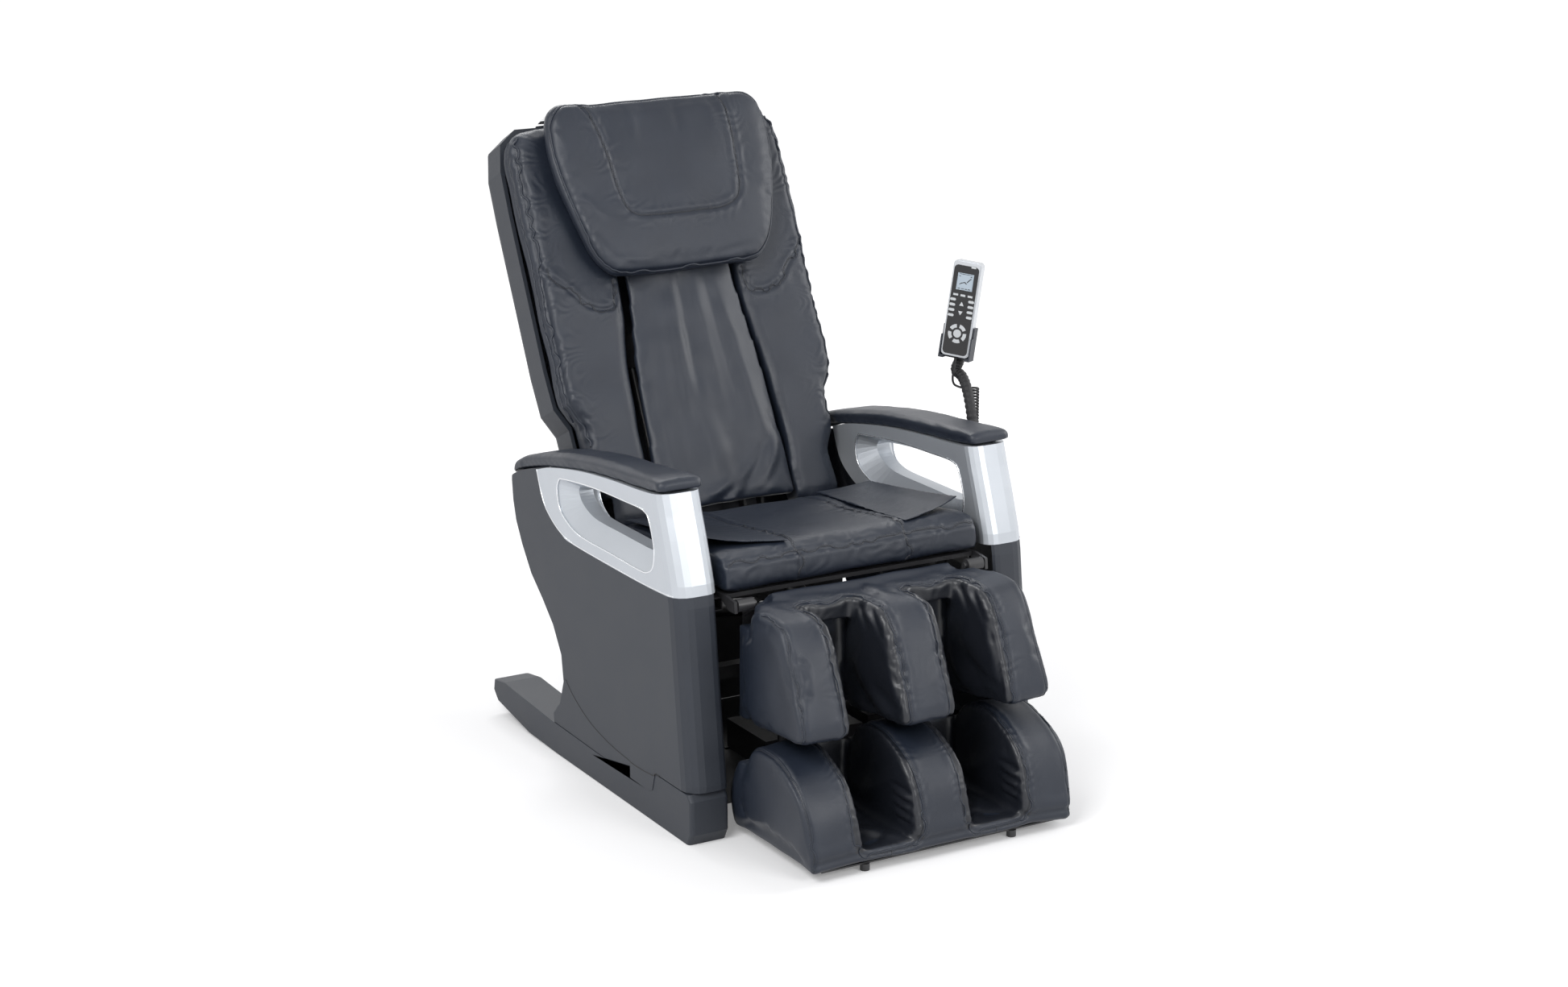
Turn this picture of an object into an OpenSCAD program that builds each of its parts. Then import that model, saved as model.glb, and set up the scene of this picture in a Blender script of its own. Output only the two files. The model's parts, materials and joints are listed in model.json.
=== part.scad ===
// Massage chair with reclining back, lifting leg rest and a roller carriage.
// X runs across the chair, -Y is the front, Z is up, and the floor is Z = 0.

/* [Arms and base] */
// Width of one arm
arm_w = 90; // [80:1:100]
// Clearance between the seat and each arm
arm_gap = 10; // [6:0.5:16]
// Height of the arm pad's underside at the front
arm_h = 634; // [620:1:650]
// Thickness of the arm pad
pad_t = 27; // [20:1:32]
// Wall of the moulded side shells
shell_wall = 4; // [3:0.5:6]
// Depth of the swept relief in the side shells
relief_d = 4; // [2:0.5:6]
// Height of the floor runners
runner_h = 56; // [48:1:60]
// Outer size of the square frame tubes
tube_s = 25; // [20:1:30]
// Radius of the transport wheels
wheel_r = 30; // [24:1:34]
// Hole radius of the four floor bolts
bolt_r = 4.5; // [3:0.25:6]
// Spacing of the floor bolts along the chair
bolt_y = 360; // [300:5:400]

/* [Seat] */
// Width of the seat cushion
seat_w = 560; // [530:5:572]
// Height of the seat cushion's top at the front
seat_top = 522; // [510:1:535]
// Thickness of the seat cushion at the front
seat_t = 70; // [60:1:74]
// Rake of the seat, lower at the back
seat_rake = 5; // [3:0.5:7]

/* [Back] */
// Recline of the back from upright at rest
recline = 26; // [24:0.5:28]
// Length of the back along its slope
back_len = 880; // [860:5:900]
// Width of the back above the arms
back_w = 620; // [600:5:640]
// Depth of the padded front of the back
bolster_d = 62; // [50:1:66]
// Depth of the rear cover
cover_d = 78; // [72:1:84]
// Width of the loose centre panel at its top
panel_top_w = 232; // [210:2:250]
// Width of the loose centre panel at its bottom
panel_low_w = 300; // [280:2:320]
// Width of the head pillow
pillow_w = 508; // [480:4:530]
// Height of the head pillow
pillow_h = 372; // [350:2:385]
// Thickness of the head pillow
pillow_t = 50; // [40:1:60]

/* [Massage carriage] */
// Distance between the carriage rails
rail_gap = 220; // [214:2:230]
// Diameter of the carriage rails
rail_d = 12; // [10:0.5:14]
// Diameter of the lift screw
screw_d = 12; // [10:0.5:14]
// Diameter of the massage rollers
roller_d = 44; // [38:1:48]
// Width of the massage rollers
roller_w = 22; // [18:1:26]
// Radial clearance of turning and sliding fits
fit = 0.05; // [0.02:0.01:0.1]

/* [Leg rest] */
// Width of the calf unit
calf_w = 530; // [500:5:536]
// Width of the foot unit
foot_w = 568; // [540:4:574]
// Width of the bolster between the legs
mid_w = 120; // [105:1:130]
// Width of each outer leg bolster
side_w = 105; // [90:1:112]
// Diameter of the foot slide rods
rod_d = 14; // [12:0.5:16]

/* [Handset] */
// Width of the handset
hand_w = 58; // [52:1:62]
// Length of the handset
hand_l = 190; // [180:1:200]
// Thickness of the handset
hand_t = 24; // [20:1:28]
// Diameter of the ribbed stalk
stalk_d = 22; // [16:0.5:22]
// Diameter of the handset cord
cord_d = 4.5; // [4:0.1:5]
// Outer diameter of the cord's curls
curl_d = 20; // [16:0.5:20]

/* [Hidden] */
$fn = 48;
gap = 0.3;

leather = [0.16, 0.17, 0.20];
plastic = [0.13, 0.14, 0.16];
silver = [0.78, 0.81, 0.84];
steel = [0.55, 0.57, 0.60];

arm_in = seat_w / 2 + arm_gap;
half_w = arm_in + arm_w;

// ---- shape helpers ----

// Draws a side outline, given as [y, z], and extends it from x0 to x1.
module across(x0, x1) {
    translate([x0, 0, 0]) rotate([90, 0, 90]) linear_extrude(x1 - x0) children();
}

// Repeats a child on the right and, mirrored, on the left.
module pair() {
    children();
    mirror([1, 0, 0]) children();
}

// A point between four neighbours on a smooth curve.
function bend(a, b, c, d, t) = 0.5 * ((2 * b) + (c - a) * t + (2 * a - 5 * b + 4 * c - d) * t * t
    + (3 * b - a - 3 * c + d) * t * t * t);

// A closed smooth outline through the given points, with n steps between them.
function smooth(p, n = 4) = let (m = len(p)) [for (i = [0 : m - 1], k = [0 : n - 1])
    bend(p[(i + m - 1) % m], p[i], p[(i + 1) % m], p[(i + 2) % m], k / n)];

// An open smooth curve through the given points, with n steps between them.
function curve(p, n = 4) = let (m = len(p)) concat([for (i = [0 : m - 2], k = [0 : n - 1])
    bend(p[max(i - 1, 0)], p[i], p[i + 1], p[min(i + 2, m - 1)], k / n)], [p[m - 1]]);

function sum(v, i = 0) = i == len(v) - 1 ? v[i] : v[i] + sum(v, i + 1);
function middle(p) = sum(p) / len(p);

// Area vector of a closed ring, which tells which way round it runs.
function area(r) = sum([for (i = [0 : len(r) - 1]) cross(r[i], r[(i + 1) % len(r)])]);

// A solid skinned over rings of equal length, with its faces turned outwards. With a hub,
// which every point of the end rings can see, its ends are closed by fans around that hub.
module skin(rings, hub = []) {
    n = len(rings[0]);
    m = len(rings);
    k = floor(m / 2);
    back = area(rings[k]) * (middle(rings[m - 1]) - middle(rings[0])) > 0;
    last = (m - 1) * n;
    faces = concat([for (j = [0 : m - 2], i = [0 : n - 1]) each
            let (a = j * n + i, b = j * n + (i + 1) % n) [[a, a + n, b], [b, a + n, b + n]]],
        hub == [] ? [[for (i = [0 : n - 1]) i], [for (i = [n - 1 : -1 : 0]) last + i]]
            : [for (i = [0 : n - 1]) each let (j = (i + 1) % n)
                [[m * n, i, j], [m * n + 1, last + j, last + i]]]);
    polyhedron(points = concat([for (r = rings) each r], hub == [] ? []
        : [for (r = [rings[0], rings[m - 1]]) concat(hub, [r[0][2]])]), faces = back ? faces
        : [for (f = faces) [for (i = [len(f) - 1 : -1 : 0]) f[i]]], convexity = 8);
}

// Rings of a stuffed form: the outline at height 0 to t, drawn in to o by r at both edges,
// with a crown of c above the top edge.
function puff(outline, o, t, r, c = 0) = let (q = 3) concat(
    [for (k = [0 : q]) let (a = 90 * k / q) inset(outline, o, r * (1 - sin(a)), r * (1 - cos(a)))],
    [for (k = [q : -1 : 0]) let (a = 90 * k / q)
        inset(outline, o, r * (1 - sin(a)), t - r * (1 - cos(a)))],
    c > 0 ? [for (k = [1 : 4]) inset(outline, o, r, t + c * (1 - pow(1 - k / 4, 2)), 1 - 0.22 * k)]
        : []);
function inset(outline, o, d, z, s = 1) = [for (p = outline) let (v = p - o, l = norm(v))
    concat(o + v * s * max(0.05, 1 - d / l), [z])];

// A stuffed form whose outline is a side view, from x0 to x1.
module puff_across(outline, x0, x1, r, hub = []) {
    o = hub == [] ? middle(outline) : hub;
    translate([x0, 0, 0]) rotate([90, 0, 90]) skin(puff(outline, o, x1 - x0, r), o);
}

// ---- outlines of the arms, as [y, z] ----

// Underside of the arm pad, from the front to the back.
arm_top = curve([[-246, arm_h + 6], [-168, arm_h - 2], [-45, arm_h - 11], [84, arm_h - 26],
    [219, arm_h - 52], [330, arm_h - 83], [384, arm_h - 108]]);
// Rear edge of the side shell, as [z, y].
shell_rear = [[20, 214], [83, 219], [112, 190], [162, 172], [215, 180], [267, 214], [308, 259],
    [347, 308], [396, 346], [448, 377], [506, 389], [560, 384], [680, 384]];
// Front edge of the side shell, as [z, y].
shell_front = [[20, -352], [108, -356], [199, -344], [289, -333], [378, -322], [464, -312],
    [549, -283], [640, -248], [680, -236]];
// Silver trim, which carries the front of the pad.
function below_top(line) = [for (p = line) [p[0], arm_h + p[1]]];
trim_outline = concat([for (p = arm_top) if (p[0] < 230) p], below_top(curve([[262, -66],
    [236, -122], [203, -150], [157, -170], [104, -178], [-163, -179], [-301, -174],
    [-420, -166]])), [[-420, arm_h + 20]]);
// Rim of the trim's opening, and its throat half way through the arm.
rim = below_top(smooth([[165, -65], [138, -56], [20, -43], [-106, -37], [-186, -36],
    [-209, -53], [-226, -98], [-221, -134], [-201, -150], [-164, -155], [-40, -154], [50, -154],
    [103, -149], [155, -127], [172, -94]], 3));
throat = below_top(smooth([[134, -76], [115, -69], [16, -57], [-100, -51], [-165, -51],
    [-180, -64], [-190, -94], [-186, -112], [-170, -120], [-140, -122], [-40, -122],
    [50, -122], [90, -117], [122, -104], [136, -88]], 3));
// Floor runner.
runner_line = [[-345, 0], [205, 0], [334, 4], [478, 28], [496, 46], [492, 68], [440, 76],
    [214, runner_h + 8], [-200, runner_h], [-214, 62], [-224, 98], [-346, 98], [-356, 86],
    [-357, 22]];

// Plan of an arm at height z, drawn in by d, rounded at its front.
function arm_plan(z, d) = let (f = lookup(z, shell_front) + d, b = lookup(z, shell_rear) - d,
    o = half_w - d, i = arm_in - (d > 0 ? 5 : 0), ro = 34 - d, ri = 26 - d, rb = 14 - d, n = 4)
    concat([for (k = [0 : n]) let (a = 90 * k / n) [o - ro + ro * cos(a), f + ro - ro * sin(a)]],
        [for (k = [0 : n]) let (a = 90 * k / n) [i + ri - ri * sin(a), f + ri - ri * cos(a)]],
        [[i, b], [o - rb, b]],
        [for (k = [1 : 3]) let (a = 30 * k) [o - rb + rb * sin(a), b - rb + rb * cos(a)]]);

// The whole arm before it is split into shell and trim.
module arm_form(d = 0, low = 20, top = 680) {
    skin([for (z = [top, 600, 560, 520, 480, 440, 396, 347, 308, 267, 215, 162, 112, 83, low])
        if (z >= low && z <= top) [for (p = arm_plan(z, d)) [p[0], p[1], z]]]);
}

// Line of the swept relief: the lower panel lies deeper.
relief_line = curve([[420, 276], [312, 268], [213, 258], [139, 241], [52, 218], [-11, 189],
    [-46, 158], [-80, 128], [-118, 96]]);
groove_line = curve([[200, 176], [156, 169], [119, 143], [57, 115], [-17, 98], [-93, 90],
    [-190, 92]]);

module side_shell() {
    difference() {
        arm_form();
        // hollow, open towards the seat, with room for the rear post
        arm_form(shell_wall, 20, 600);
        translate([arm_in - 5, post_rear - tube_s / 2 - gap, 200])
            cube([rail_x + tube_s / 2 + gap - arm_in + 5, tube_s + 2 * gap, 150]);
        across(arm_in - 30, half_w + 5) polygon(concat(arm_top, [[600, 470], [600, 900],
            [-600, 900], [-600, arm_h + 3]]));
        across(arm_in - 30, half_w + 5) polygon(trim_outline);
        across(arm_in - 30, half_w + 5) polygon([[-500, -10], [500, -10], [500, 77], [440, 77],
            [214, runner_h + 9], [-192, runner_h], [-207, 62], [-219, 100], [-500, 100]]);
        across(half_w - relief_d / 2, half_w + 5) polygon(concat(relief_line, [[-118, 40],
            [500, 40]]));
    }
}
module side_shell_right() { color(plastic) side_shell(); }
module side_shell_left() { color(plastic) mirror([1, 0, 0]) side_shell(); }

module arm_trim() {
    deep = 30;
    lip = 3;
    difference() {
        intersection() {
            arm_form();
            across(arm_in - 1, half_w + 1) polygon(trim_outline);
        }
        skin([for (s = [[half_w + 1, 0], [half_w - lip, 0], [half_w - deep, 1],
            [arm_in + deep, 1], [arm_in + lip, 0], [arm_in - 1, 0]])
            [for (p = s[1] == 0 ? rim : throat) [s[0], p[0], p[1]]]]);
    }
}
module arm_trim_right() { color(silver) arm_trim(); }
module arm_trim_left() { color(silver) mirror([1, 0, 0]) arm_trim(); }

// Padded arm rest: bottom flat on the arm, top crowned, ends rounded.
module arm_pad() {
    over = 2;
    line = concat([[arm_top[0][0] - 8, arm_top[0][1] + 1]], [for (i = [0 : 2 : 22]) arm_top[i]],
        [[arm_top[24][0] + 4, arm_top[24][1] - 2]]);
    n = 20;
    last = len(line) - 1;
    skin([for (i = [0 : last]) let (e = i == 0 || i == last ? 0.55 : i == 1 || i == last - 1
        ? 0.93 : 1, w = (arm_w / 2 + over) * (i == 0 || i == last ? 0.8 : 1))
        [for (k = [0 : n - 1]) let (a = -360 * k / n, c = cos(a), s = sin(a),
            hx = sign(c) * pow(abs(c), 0.4) * w, hz = sign(s) * pow(abs(s), 0.5))
            [half_w - arm_w / 2 + hx, line[i][0],
                line[i][1] + 2 * gap + pad_t * e * (hz < 0 ? max(0, 0.16 * (1 + hz)) : 0.16 + 0.84 * hz)]]]);
}
module arm_pad_right() { color(leather) arm_pad(); }
module arm_pad_left() { color(leather) mirror([1, 0, 0]) arm_pad(); }

module runner() {
    puff_across(runner_line, half_w - 80, half_w - 1, 7);
}
module runner_right() { color(plastic) runner(); }
module runner_left() { color(plastic) mirror([1, 0, 0]) runner(); }

// ---- welded base ----
rail_x = seat_w / 2;
plate_t = 6;
tube_wall = 2;
post_front = -155;
post_rear = 235;
post_mid = -20;
top_rail_z = 428;
pivot = [185, 400];
pivot_r = 8;
leg_pivot = [-325, 436];
leg_pin_r = 6;
back_mount = [post_front, 250];
leg_mount = [post_rear, 250];
act_x = 90;
fork = 32;
pin_r = 5;

// A square tube between two corners, hollow along the named axis.
module tube(a, b, axis, wall = tube_wall) {
    lo = [for (i = [0 : 2]) a[i] - (i == axis ? 0 : tube_s / 2)];
    hi = [for (i = [0 : 2]) b[i] + (i == axis ? 0 : tube_s / 2)];
    in_lo = [for (i = [0 : 2]) lo[i] + (i == axis ? -1 : wall)];
    in_hi = [for (i = [0 : 2]) hi[i] - (i == axis ? -1 : wall)];
    difference() {
        translate(lo) cube(hi - lo);
        translate(in_lo) cube(in_hi - in_lo);
    }
}
module rod_x(x0, x1, p, r) {
    translate([x0, p[0], p[1]]) rotate([0, 90, 0]) cylinder(r = r, h = x1 - x0);
}

rail_z = plate_t + tube_s / 2;
wheel_at = [278, wheel_r + 2];
axle_r = 5;
module base_frame() {
    color(steel) difference() {
        union() {
            pair() {
                tube([rail_x, -290, rail_z], [rail_x, 300, rail_z], 1);
                for (y = [post_front, post_rear])
                    tube([rail_x, y, plate_t + tube_s], [rail_x, y, top_rail_z - tube_s / 2], 2);
                tube([rail_x, -278, top_rail_z], [rail_x, post_rear + tube_s / 2, top_rail_z], 1);
                for (y = [-1, 1] * bolt_y / 2) translate([rail_x - 25, y - 25, 0])
                    cube([25 + tube_s / 2 + 5, 50, plate_t]);
                // plate and pin of the recline hinge
                across(rail_x - tube_s / 2 - 6, rail_x - tube_s / 2) translate(pivot)
                    polygon([[-25, 40], [25, 40], [20, -20], [-20, -20]]);
                rod_x(rail_x - tube_s / 2 - 34, rail_x - tube_s / 2 - 3, pivot, pivot_r - fit);
                // bracket and axle of the transport wheel
                across(rail_x - tube_s / 2 - 5, rail_x - tube_s / 2) translate(wheel_at)
                    polygon([[-22, -24], [22, -24], [14, 14], [-14, 14]]);
                rod_x(rail_x - tube_s / 2 - 36, rail_x - tube_s / 2 - 3, wheel_at, axle_r - fit);
                // brackets of the runners
                for (y = [-120, 150]) translate([rail_x + tube_s / 2, y, 20])
                    cube([half_w - 80 - rail_x - tube_s / 2, 40, 12]);
                // brackets of the side shells
                for (y = [-140, 190]) translate([rail_x + tube_s / 2, y, top_rail_z - 8])
                    cube([half_w - shell_wall - rail_x - tube_s / 2, 20, 16]);
            }
            for (y = [post_front, post_rear])
                tube([-rail_x + tube_s / 2, y, 250], [rail_x - tube_s / 2, y, 250], 0);
            for (y = [post_front, post_mid, post_rear])
                tube([-rail_x + tube_s / 2, y, rail_z], [rail_x - tube_s / 2, y, rail_z], 0);
            // forks of the two actuators
            for (m = [[act_x, back_mount, 1], [-act_x, leg_mount, -1]]) {
                for (s = [-1, 1]) across(m[0] + s * 24 - 3, m[0] + s * 24 + 3) translate(m[1])
                    polygon([[0, 12], [m[2] * 36, 14], [m[2] * 44, 0], [m[2] * 36, -14], [0, -12]]);
                rod_x(m[0] - 27, m[0] + 27, m[1] + [m[2] * fork, 0], pin_r - fit);
            }
        }
        for (x = [-1, 1], y = [-1, 1]) translate([x * rail_x, y * bolt_y / 2, -1])
            cylinder(r = bolt_r, h = plate_t + tube_s + 5);
    }
}

module wheel() {
    face = rail_x - tube_s / 2 - 7;
    color([0.1, 0.1, 0.1]) difference() {
        union() {
            rod_x(face - 24, face, wheel_at, wheel_r - 3);
            rod_x(face - 21, face - 3, wheel_at, wheel_r);
        }
        rod_x(face - 25, face + 1, wheel_at, axle_r);
        for (a = [0 : 60 : 300]) rod_x(face - 25, face - 16,
            wheel_at + [cos(a), sin(a)] * (wheel_r * 0.56), 5);
    }
}
module wheel_right() { wheel(); }
module wheel_left() { mirror([1, 0, 0]) wheel(); }

// ---- seat ----
seat_in = 296;
seat_under = seat_top - seat_t;
pan_t = 8;
seat_base = top_rail_z + tube_s / 2;
lug_x = rail_x - tube_s / 2 + 4;

// Steel frame under the cushion, with its pan and the lugs and pins of the leg rest.
module seat_frame() {
    color(steel) {
        difference() {
            translate([-seat_w / 2 + 6, -290, seat_base]) cube([seat_w - 12, 405, pan_t]);
            for (x = [-1, 1] * (seat_w / 2 - 130)) translate([x - 50, -200, seat_base - 1])
                cube([100, 250, pan_t + 2]);
        }
        pair() {
            across(lug_x - 3, lug_x + 3) translate(leg_pivot)
                polygon([[-11, -11], [11, -11], [44, seat_base - leg_pivot[1]],
                    [44, seat_base - leg_pivot[1] + pan_t], [24, 14], [-9, 10]]);
            rod_x(lug_x - 46, lug_x, leg_pivot, leg_pin_r - fit);
        }
    }
}

// Cushion outline seen from the side, raked towards the back.
seat_low = seat_base + pan_t + gap;
drop = 430 * tan(seat_rake);
seat_line = curve([[106, seat_low], [114, seat_low + 14], [118, seat_top - drop - 8],
    [90, seat_top - drop + 2], [-60, seat_top - drop * 0.62], [-200, seat_top - drop * 0.18],
    [-262, seat_top], [-290, seat_top - 5], [-308, seat_top - 22], [-312, seat_low + 22],
    [-309, seat_low + 9], [-302, seat_low + 4], [-286, seat_low + 1.2]], 2);
module seat_cushion() {
    color(leather) puff_across(seat_line, -seat_w / 2, seat_w / 2, 11);
}

// The two loose flaps of the seat cover, lying along the sides with their tips raised.
module seat_flap() {
    n = 7;
    flap_t = 3;
    skin([for (k = [0 : n]) let (t = k / n, y = 95 - 335 * t,
        z = seat_top - drop * (y + 262 < 0 ? 0 : min(1, (y + 262) / 380)) + gap + 5 * pow(t, 3),
        x0 = 150 - 25 * t, x1 = seat_w / 2 - 4, up = 5 + 9 * t)
        concat([for (j = [0 : 4]) [x0 + (x1 - x0) * j / 4, y - 50 * t * t * (1 - j / 4) + 14 * t,
                z + up * pow(j / 4, 3)]],
            [for (j = [4 : -1 : 0]) [x0 + (x1 - x0) * j / 4, y - 50 * t * t * (1 - j / 4) + 14 * t,
                z + up * pow(j / 4, 3) + flap_t]])]);
}
module seat_flaps() { color(leather) pair() seat_flap(); }

module vibration_motor() {
    z = seat_base - gap;
    color([0.3, 0.3, 0.32]) {
        translate([-45, -75, z - 6]) cube([90, 70, 6]);
        rod_x(-34, 34, [-40, z - 25], 20);
        rod_x(-44, 44, [-40, z - 25], 8);
    }
}
module control_box() {
    color([0.2, 0.2, 0.22]) {
        translate([-112, -164, rail_z + tube_s / 2]) cube([216, 152, 62]);
        for (y = [-164, -20]) translate([-120, y, rail_z + tube_s / 2]) cube([232, 8, 5]);
    }
}
module air_pump() {
    z = rail_z + tube_s / 2;
    color([0.75, 0.75, 0.72]) {
        translate([120, -164, z]) cube([112, 152, 6]);
        translate([126, -150, z + 6]) cube([100, 70, 62]);
        translate([176, -81, z + 36]) rotate([-90, 0, 0]) cylinder(r = 28, h = 58);
        for (x = [150, 200]) translate([x, -105, z + 68]) cylinder(r = 5, h = 16);
    }
}

// ---- back, drawn upright and then reclined about its hinge ----
module lean() {
    translate([0, pivot[0], pivot[1]]) rotate([-recline, 0, 0]) children();
}
// Draws an outline of [x, height] with its thickness from depth v0 to v1.
module slab(v0, v1) {
    translate([0, v1, 0]) rotate([90, 0, 0]) linear_extrude(v1 - v0) children();
}
// Stuffed form with its flat side at depth v and its crown towards the front.
module puff_front(outline, v, t, r, c = 0) {
    o = middle(outline);
    translate([0, v, 0]) rotate([90, 0, 0]) skin(puff(outline, o, t, r, c), o);
}

front_v = -42;
mid_v = front_v + bolster_d;
rear_v = mid_v + cover_d;
half_back = back_w / 2;
low_back = rail_x - 22;
// Outer face of the back frame's uprights.
post_x = rail_x - 48;
post_top = back_len - 50;
// Half outline of the back, from the bottom up: narrow between the arms, wide above them.
back_edge = [[low_back - 12, 26], [low_back, 40], [low_back, 120], [low_back + 22, 165],
    [low_back + 25, 255], [half_back - 4, 300], [half_back, 380], [half_back, back_len - 360],
    [half_back, back_len - 180], [half_back - 2, back_len - 90], [half_back - 14, back_len - 34],
    [half_back - 52, back_len - 6]];
back_line = concat(back_edge, [for (i = [len(back_edge) - 1 : -1 : 0]) [-back_edge[i][0],
    back_edge[i][1]]]);
rail_v = 34;
rail_low = 110;
rail_high = back_len - 80;

module back_frame() {
    color(steel) lean() {
        pair() {
            // upright with its hinge eye
            difference() {
                union() {
                    slab(mid_v, rail_v + 10) translate([post_x - 20, 60])
                        square([20, post_top - 60]);
                    slab(rail_v - 10, rail_v + 10) translate([post_x - 20, 60])
                        square([26, 30]);
                    across(post_x, post_x + 6) polygon([[-20, -14], [-6, -20], [14, -18], [rail_v + 10, 40],
                        [rail_v + 10, 90], [rail_v - 10, 90]]);
                    rod_x(post_x, post_x + 24, [0, 0], 15);
                }
                rod_x(post_x - 7, post_x + 28, [0, 0], pivot_r);
            }
            // carriage rail
            translate([rail_gap / 2, rail_v, rail_low - 30]) cylinder(d = rail_d,
                h = rail_high - rail_low + 60);
        }
        for (u = [rail_low - 30, rail_high + 5]) difference() {
            slab(rail_v - 10, rail_v + 10) translate([20 - post_x, u])
            square([2 * post_x - 40, 22]);
            translate([0, rail_v, u - 1]) cylinder(d = screw_d + 2 * fit, h = 24);
        }
        // lever of the back actuator
        for (s = [-1, 1]) across(act_x + s * 20 - 3, act_x + s * 20 + 3)
            polygon([[rail_v - 10, rail_low - 8],
            [rail_v - 10, rail_low - 30], lever_a + [-14, -4], lever_a + [-6, -13],
            lever_a + [10, -12], lever_a + [14, 0], [rail_v + 10, rail_low - 30],
            [rail_v + 10, rail_low - 8]]);
        rod_x(act_x - 23, act_x + 23, lever_a, pin_r - fit);
    }
}
// Lever pin in the reclined frame, from its place [225, 350] in the chair.
lever_at = [225, 350];
lever_a = let (d = lever_at - pivot) [d[0] * cos(recline) - d[1] * sin(recline),
    d[0] * sin(recline) + d[1] * cos(recline)];

// Moulded rear cover, open to the front.
module back_shell() {
    color(plastic) lean() difference() {
        union() {
            puff_front(back_line, mid_v + cover_d, cover_d - 0.2, 16);
            slab(mid_v, mid_v + 20) polygon(back_line);
        }
        slab(mid_v - 1, rear_v - shell_wall) polygon([for (p = back_line)
            [p[0] * (1 - 2 * shell_wall / half_back), 16 + p[1] * 0.965]]);
        slab(mid_v - 1, rear_v - 14) polygon([[-244, -10], [244, -10], [244, 130], [-244, 130]]);
    }
}

panel_low = 70;
panel_high = 600;
panel_half_top = panel_top_w / 2;
panel_half_low = panel_low_w / 2;
panel_t = 16;
panel_v = front_v + 14;

// Side bolster: the padded front of the back beside the centre panel.
bolster_line = smooth([[panel_half_low + 2, 40], [low_back - 14, 32], [low_back - 2, 60],
    [low_back, 130], [low_back + 22, 170], [low_back + 25, 250], [half_back - 2, 300],
    [half_back, 400], [half_back, back_len - 260], [half_back - 2, back_len - 80],
    [half_back - 22, back_len - 30], [half_back - 70, back_len - 14],
    [panel_half_top + 20, back_len - 12], [panel_half_top + 2, back_len - 20],
    [panel_half_top + 2, back_len - 260], [panel_half_top + 8, 480], [panel_half_low - 6, 300],
    [panel_half_low + 2, 160]], 2);
module bolster() {
    difference() {
        puff_front(bolster_line, mid_v - gap, bolster_d - 2, 16);
        // room for the hinge plate
        slab(-32, 40) translate([low_back - 30, 0]) square([50, 98]);
    }
}
module bolster_right() { color(leather) lean() bolster(); }
module bolster_left() { color(leather) lean() mirror([1, 0, 0]) bolster(); }

// Loose centre panel over the rollers, with its long folds towards the seat.
function panel_half(u) = u < 300 ? panel_half_low - 3 - 6 * max(0, (u - 100) / 200)
    : panel_half_low - 9 - (panel_half_low - 9 - panel_half_top) * min(1, (u - 300) / 220);
module back_panel() {
    n = 14;
    m = 12;
    top = panel_high + 240;
    color(leather) lean() skin([for (k = [0 : n]) let (u = panel_low + (top - panel_low) * k / n,
        w = panel_half(u) - gap, f = 5 * max(0, 1 - abs(u - 200) / 300))
        concat([for (j = [0 : m]) let (t = 2 * j / m - 1) [w * t, panel_v - panel_t
                - 10 * (1 - t * t) - f * cos(450 * t + 0.3 * u), u]],
            [[w, panel_v, u], [-w, panel_v, u]])]);
}

// Head pillow, wide at the top and drawn in towards the neck.
pillow_low = 520;
ph = pillow_w / 2;
pillow_half = [[0.26 * ph, 0], [0.6 * ph, 0.01], [0.72 * ph, 0.05], [0.84 * ph, 0.18],
    [0.97 * ph, 0.5], [ph, 0.72], [0.975 * ph, 0.9], [0.87 * ph, 0.985], [0.6 * ph, 1]];
pillow_line = smooth(concat([for (p = pillow_half) [p[0], pillow_low + p[1] * pillow_h]],
    [for (i = [len(pillow_half) - 1 : -1 : 0]) [-pillow_half[i][0],
        pillow_low + pillow_half[i][1] * pillow_h]]), 3);
pillow_v = panel_v - panel_t - 10;
module head_pillow() {
    color(leather) lean() puff_front(pillow_line, pillow_v - gap - 3, pillow_t - 6, 14, 9);
}

// Tail of the pillow cover: it runs over the top of the back and down behind.
module pillow_flap() {
    t = 3;
    top = back_len + 8;
    path = curve([[pillow_v - 2.5, top - 9], [front_v + 20, top], [mid_v + 10, top + 4],
        [rear_v - 18, top + 1], [rear_v + 3.2, top - 36], [rear_v + 3, top - 110]], 3);
    color(leather) lean() skin([for (i = [0 : len(path) - 1]) let (p = path[i],
        w = 196 - 16 * i / len(path)) [[-w, p[0], p[1]], [w, p[0], p[1]],
            [w, p[0] + (i > 9 ? t : 0), p[1] + (i > 9 ? 0 : t)],
            [-w, p[0] + (i > 9 ? t : 0), p[1] + (i > 9 ? 0 : t)]]]);
}

// ---- roller carriage ----
carriage_u = 400;
shaft_v = 14;
shaft_r = 6;
cheek_x = 34;
arm_x = 56;
arm_t = 10;
roll_x = arm_x + arm_t + 2;
roll_v = 6;
roll_reach = 62;
axle_roll = 4;

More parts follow.
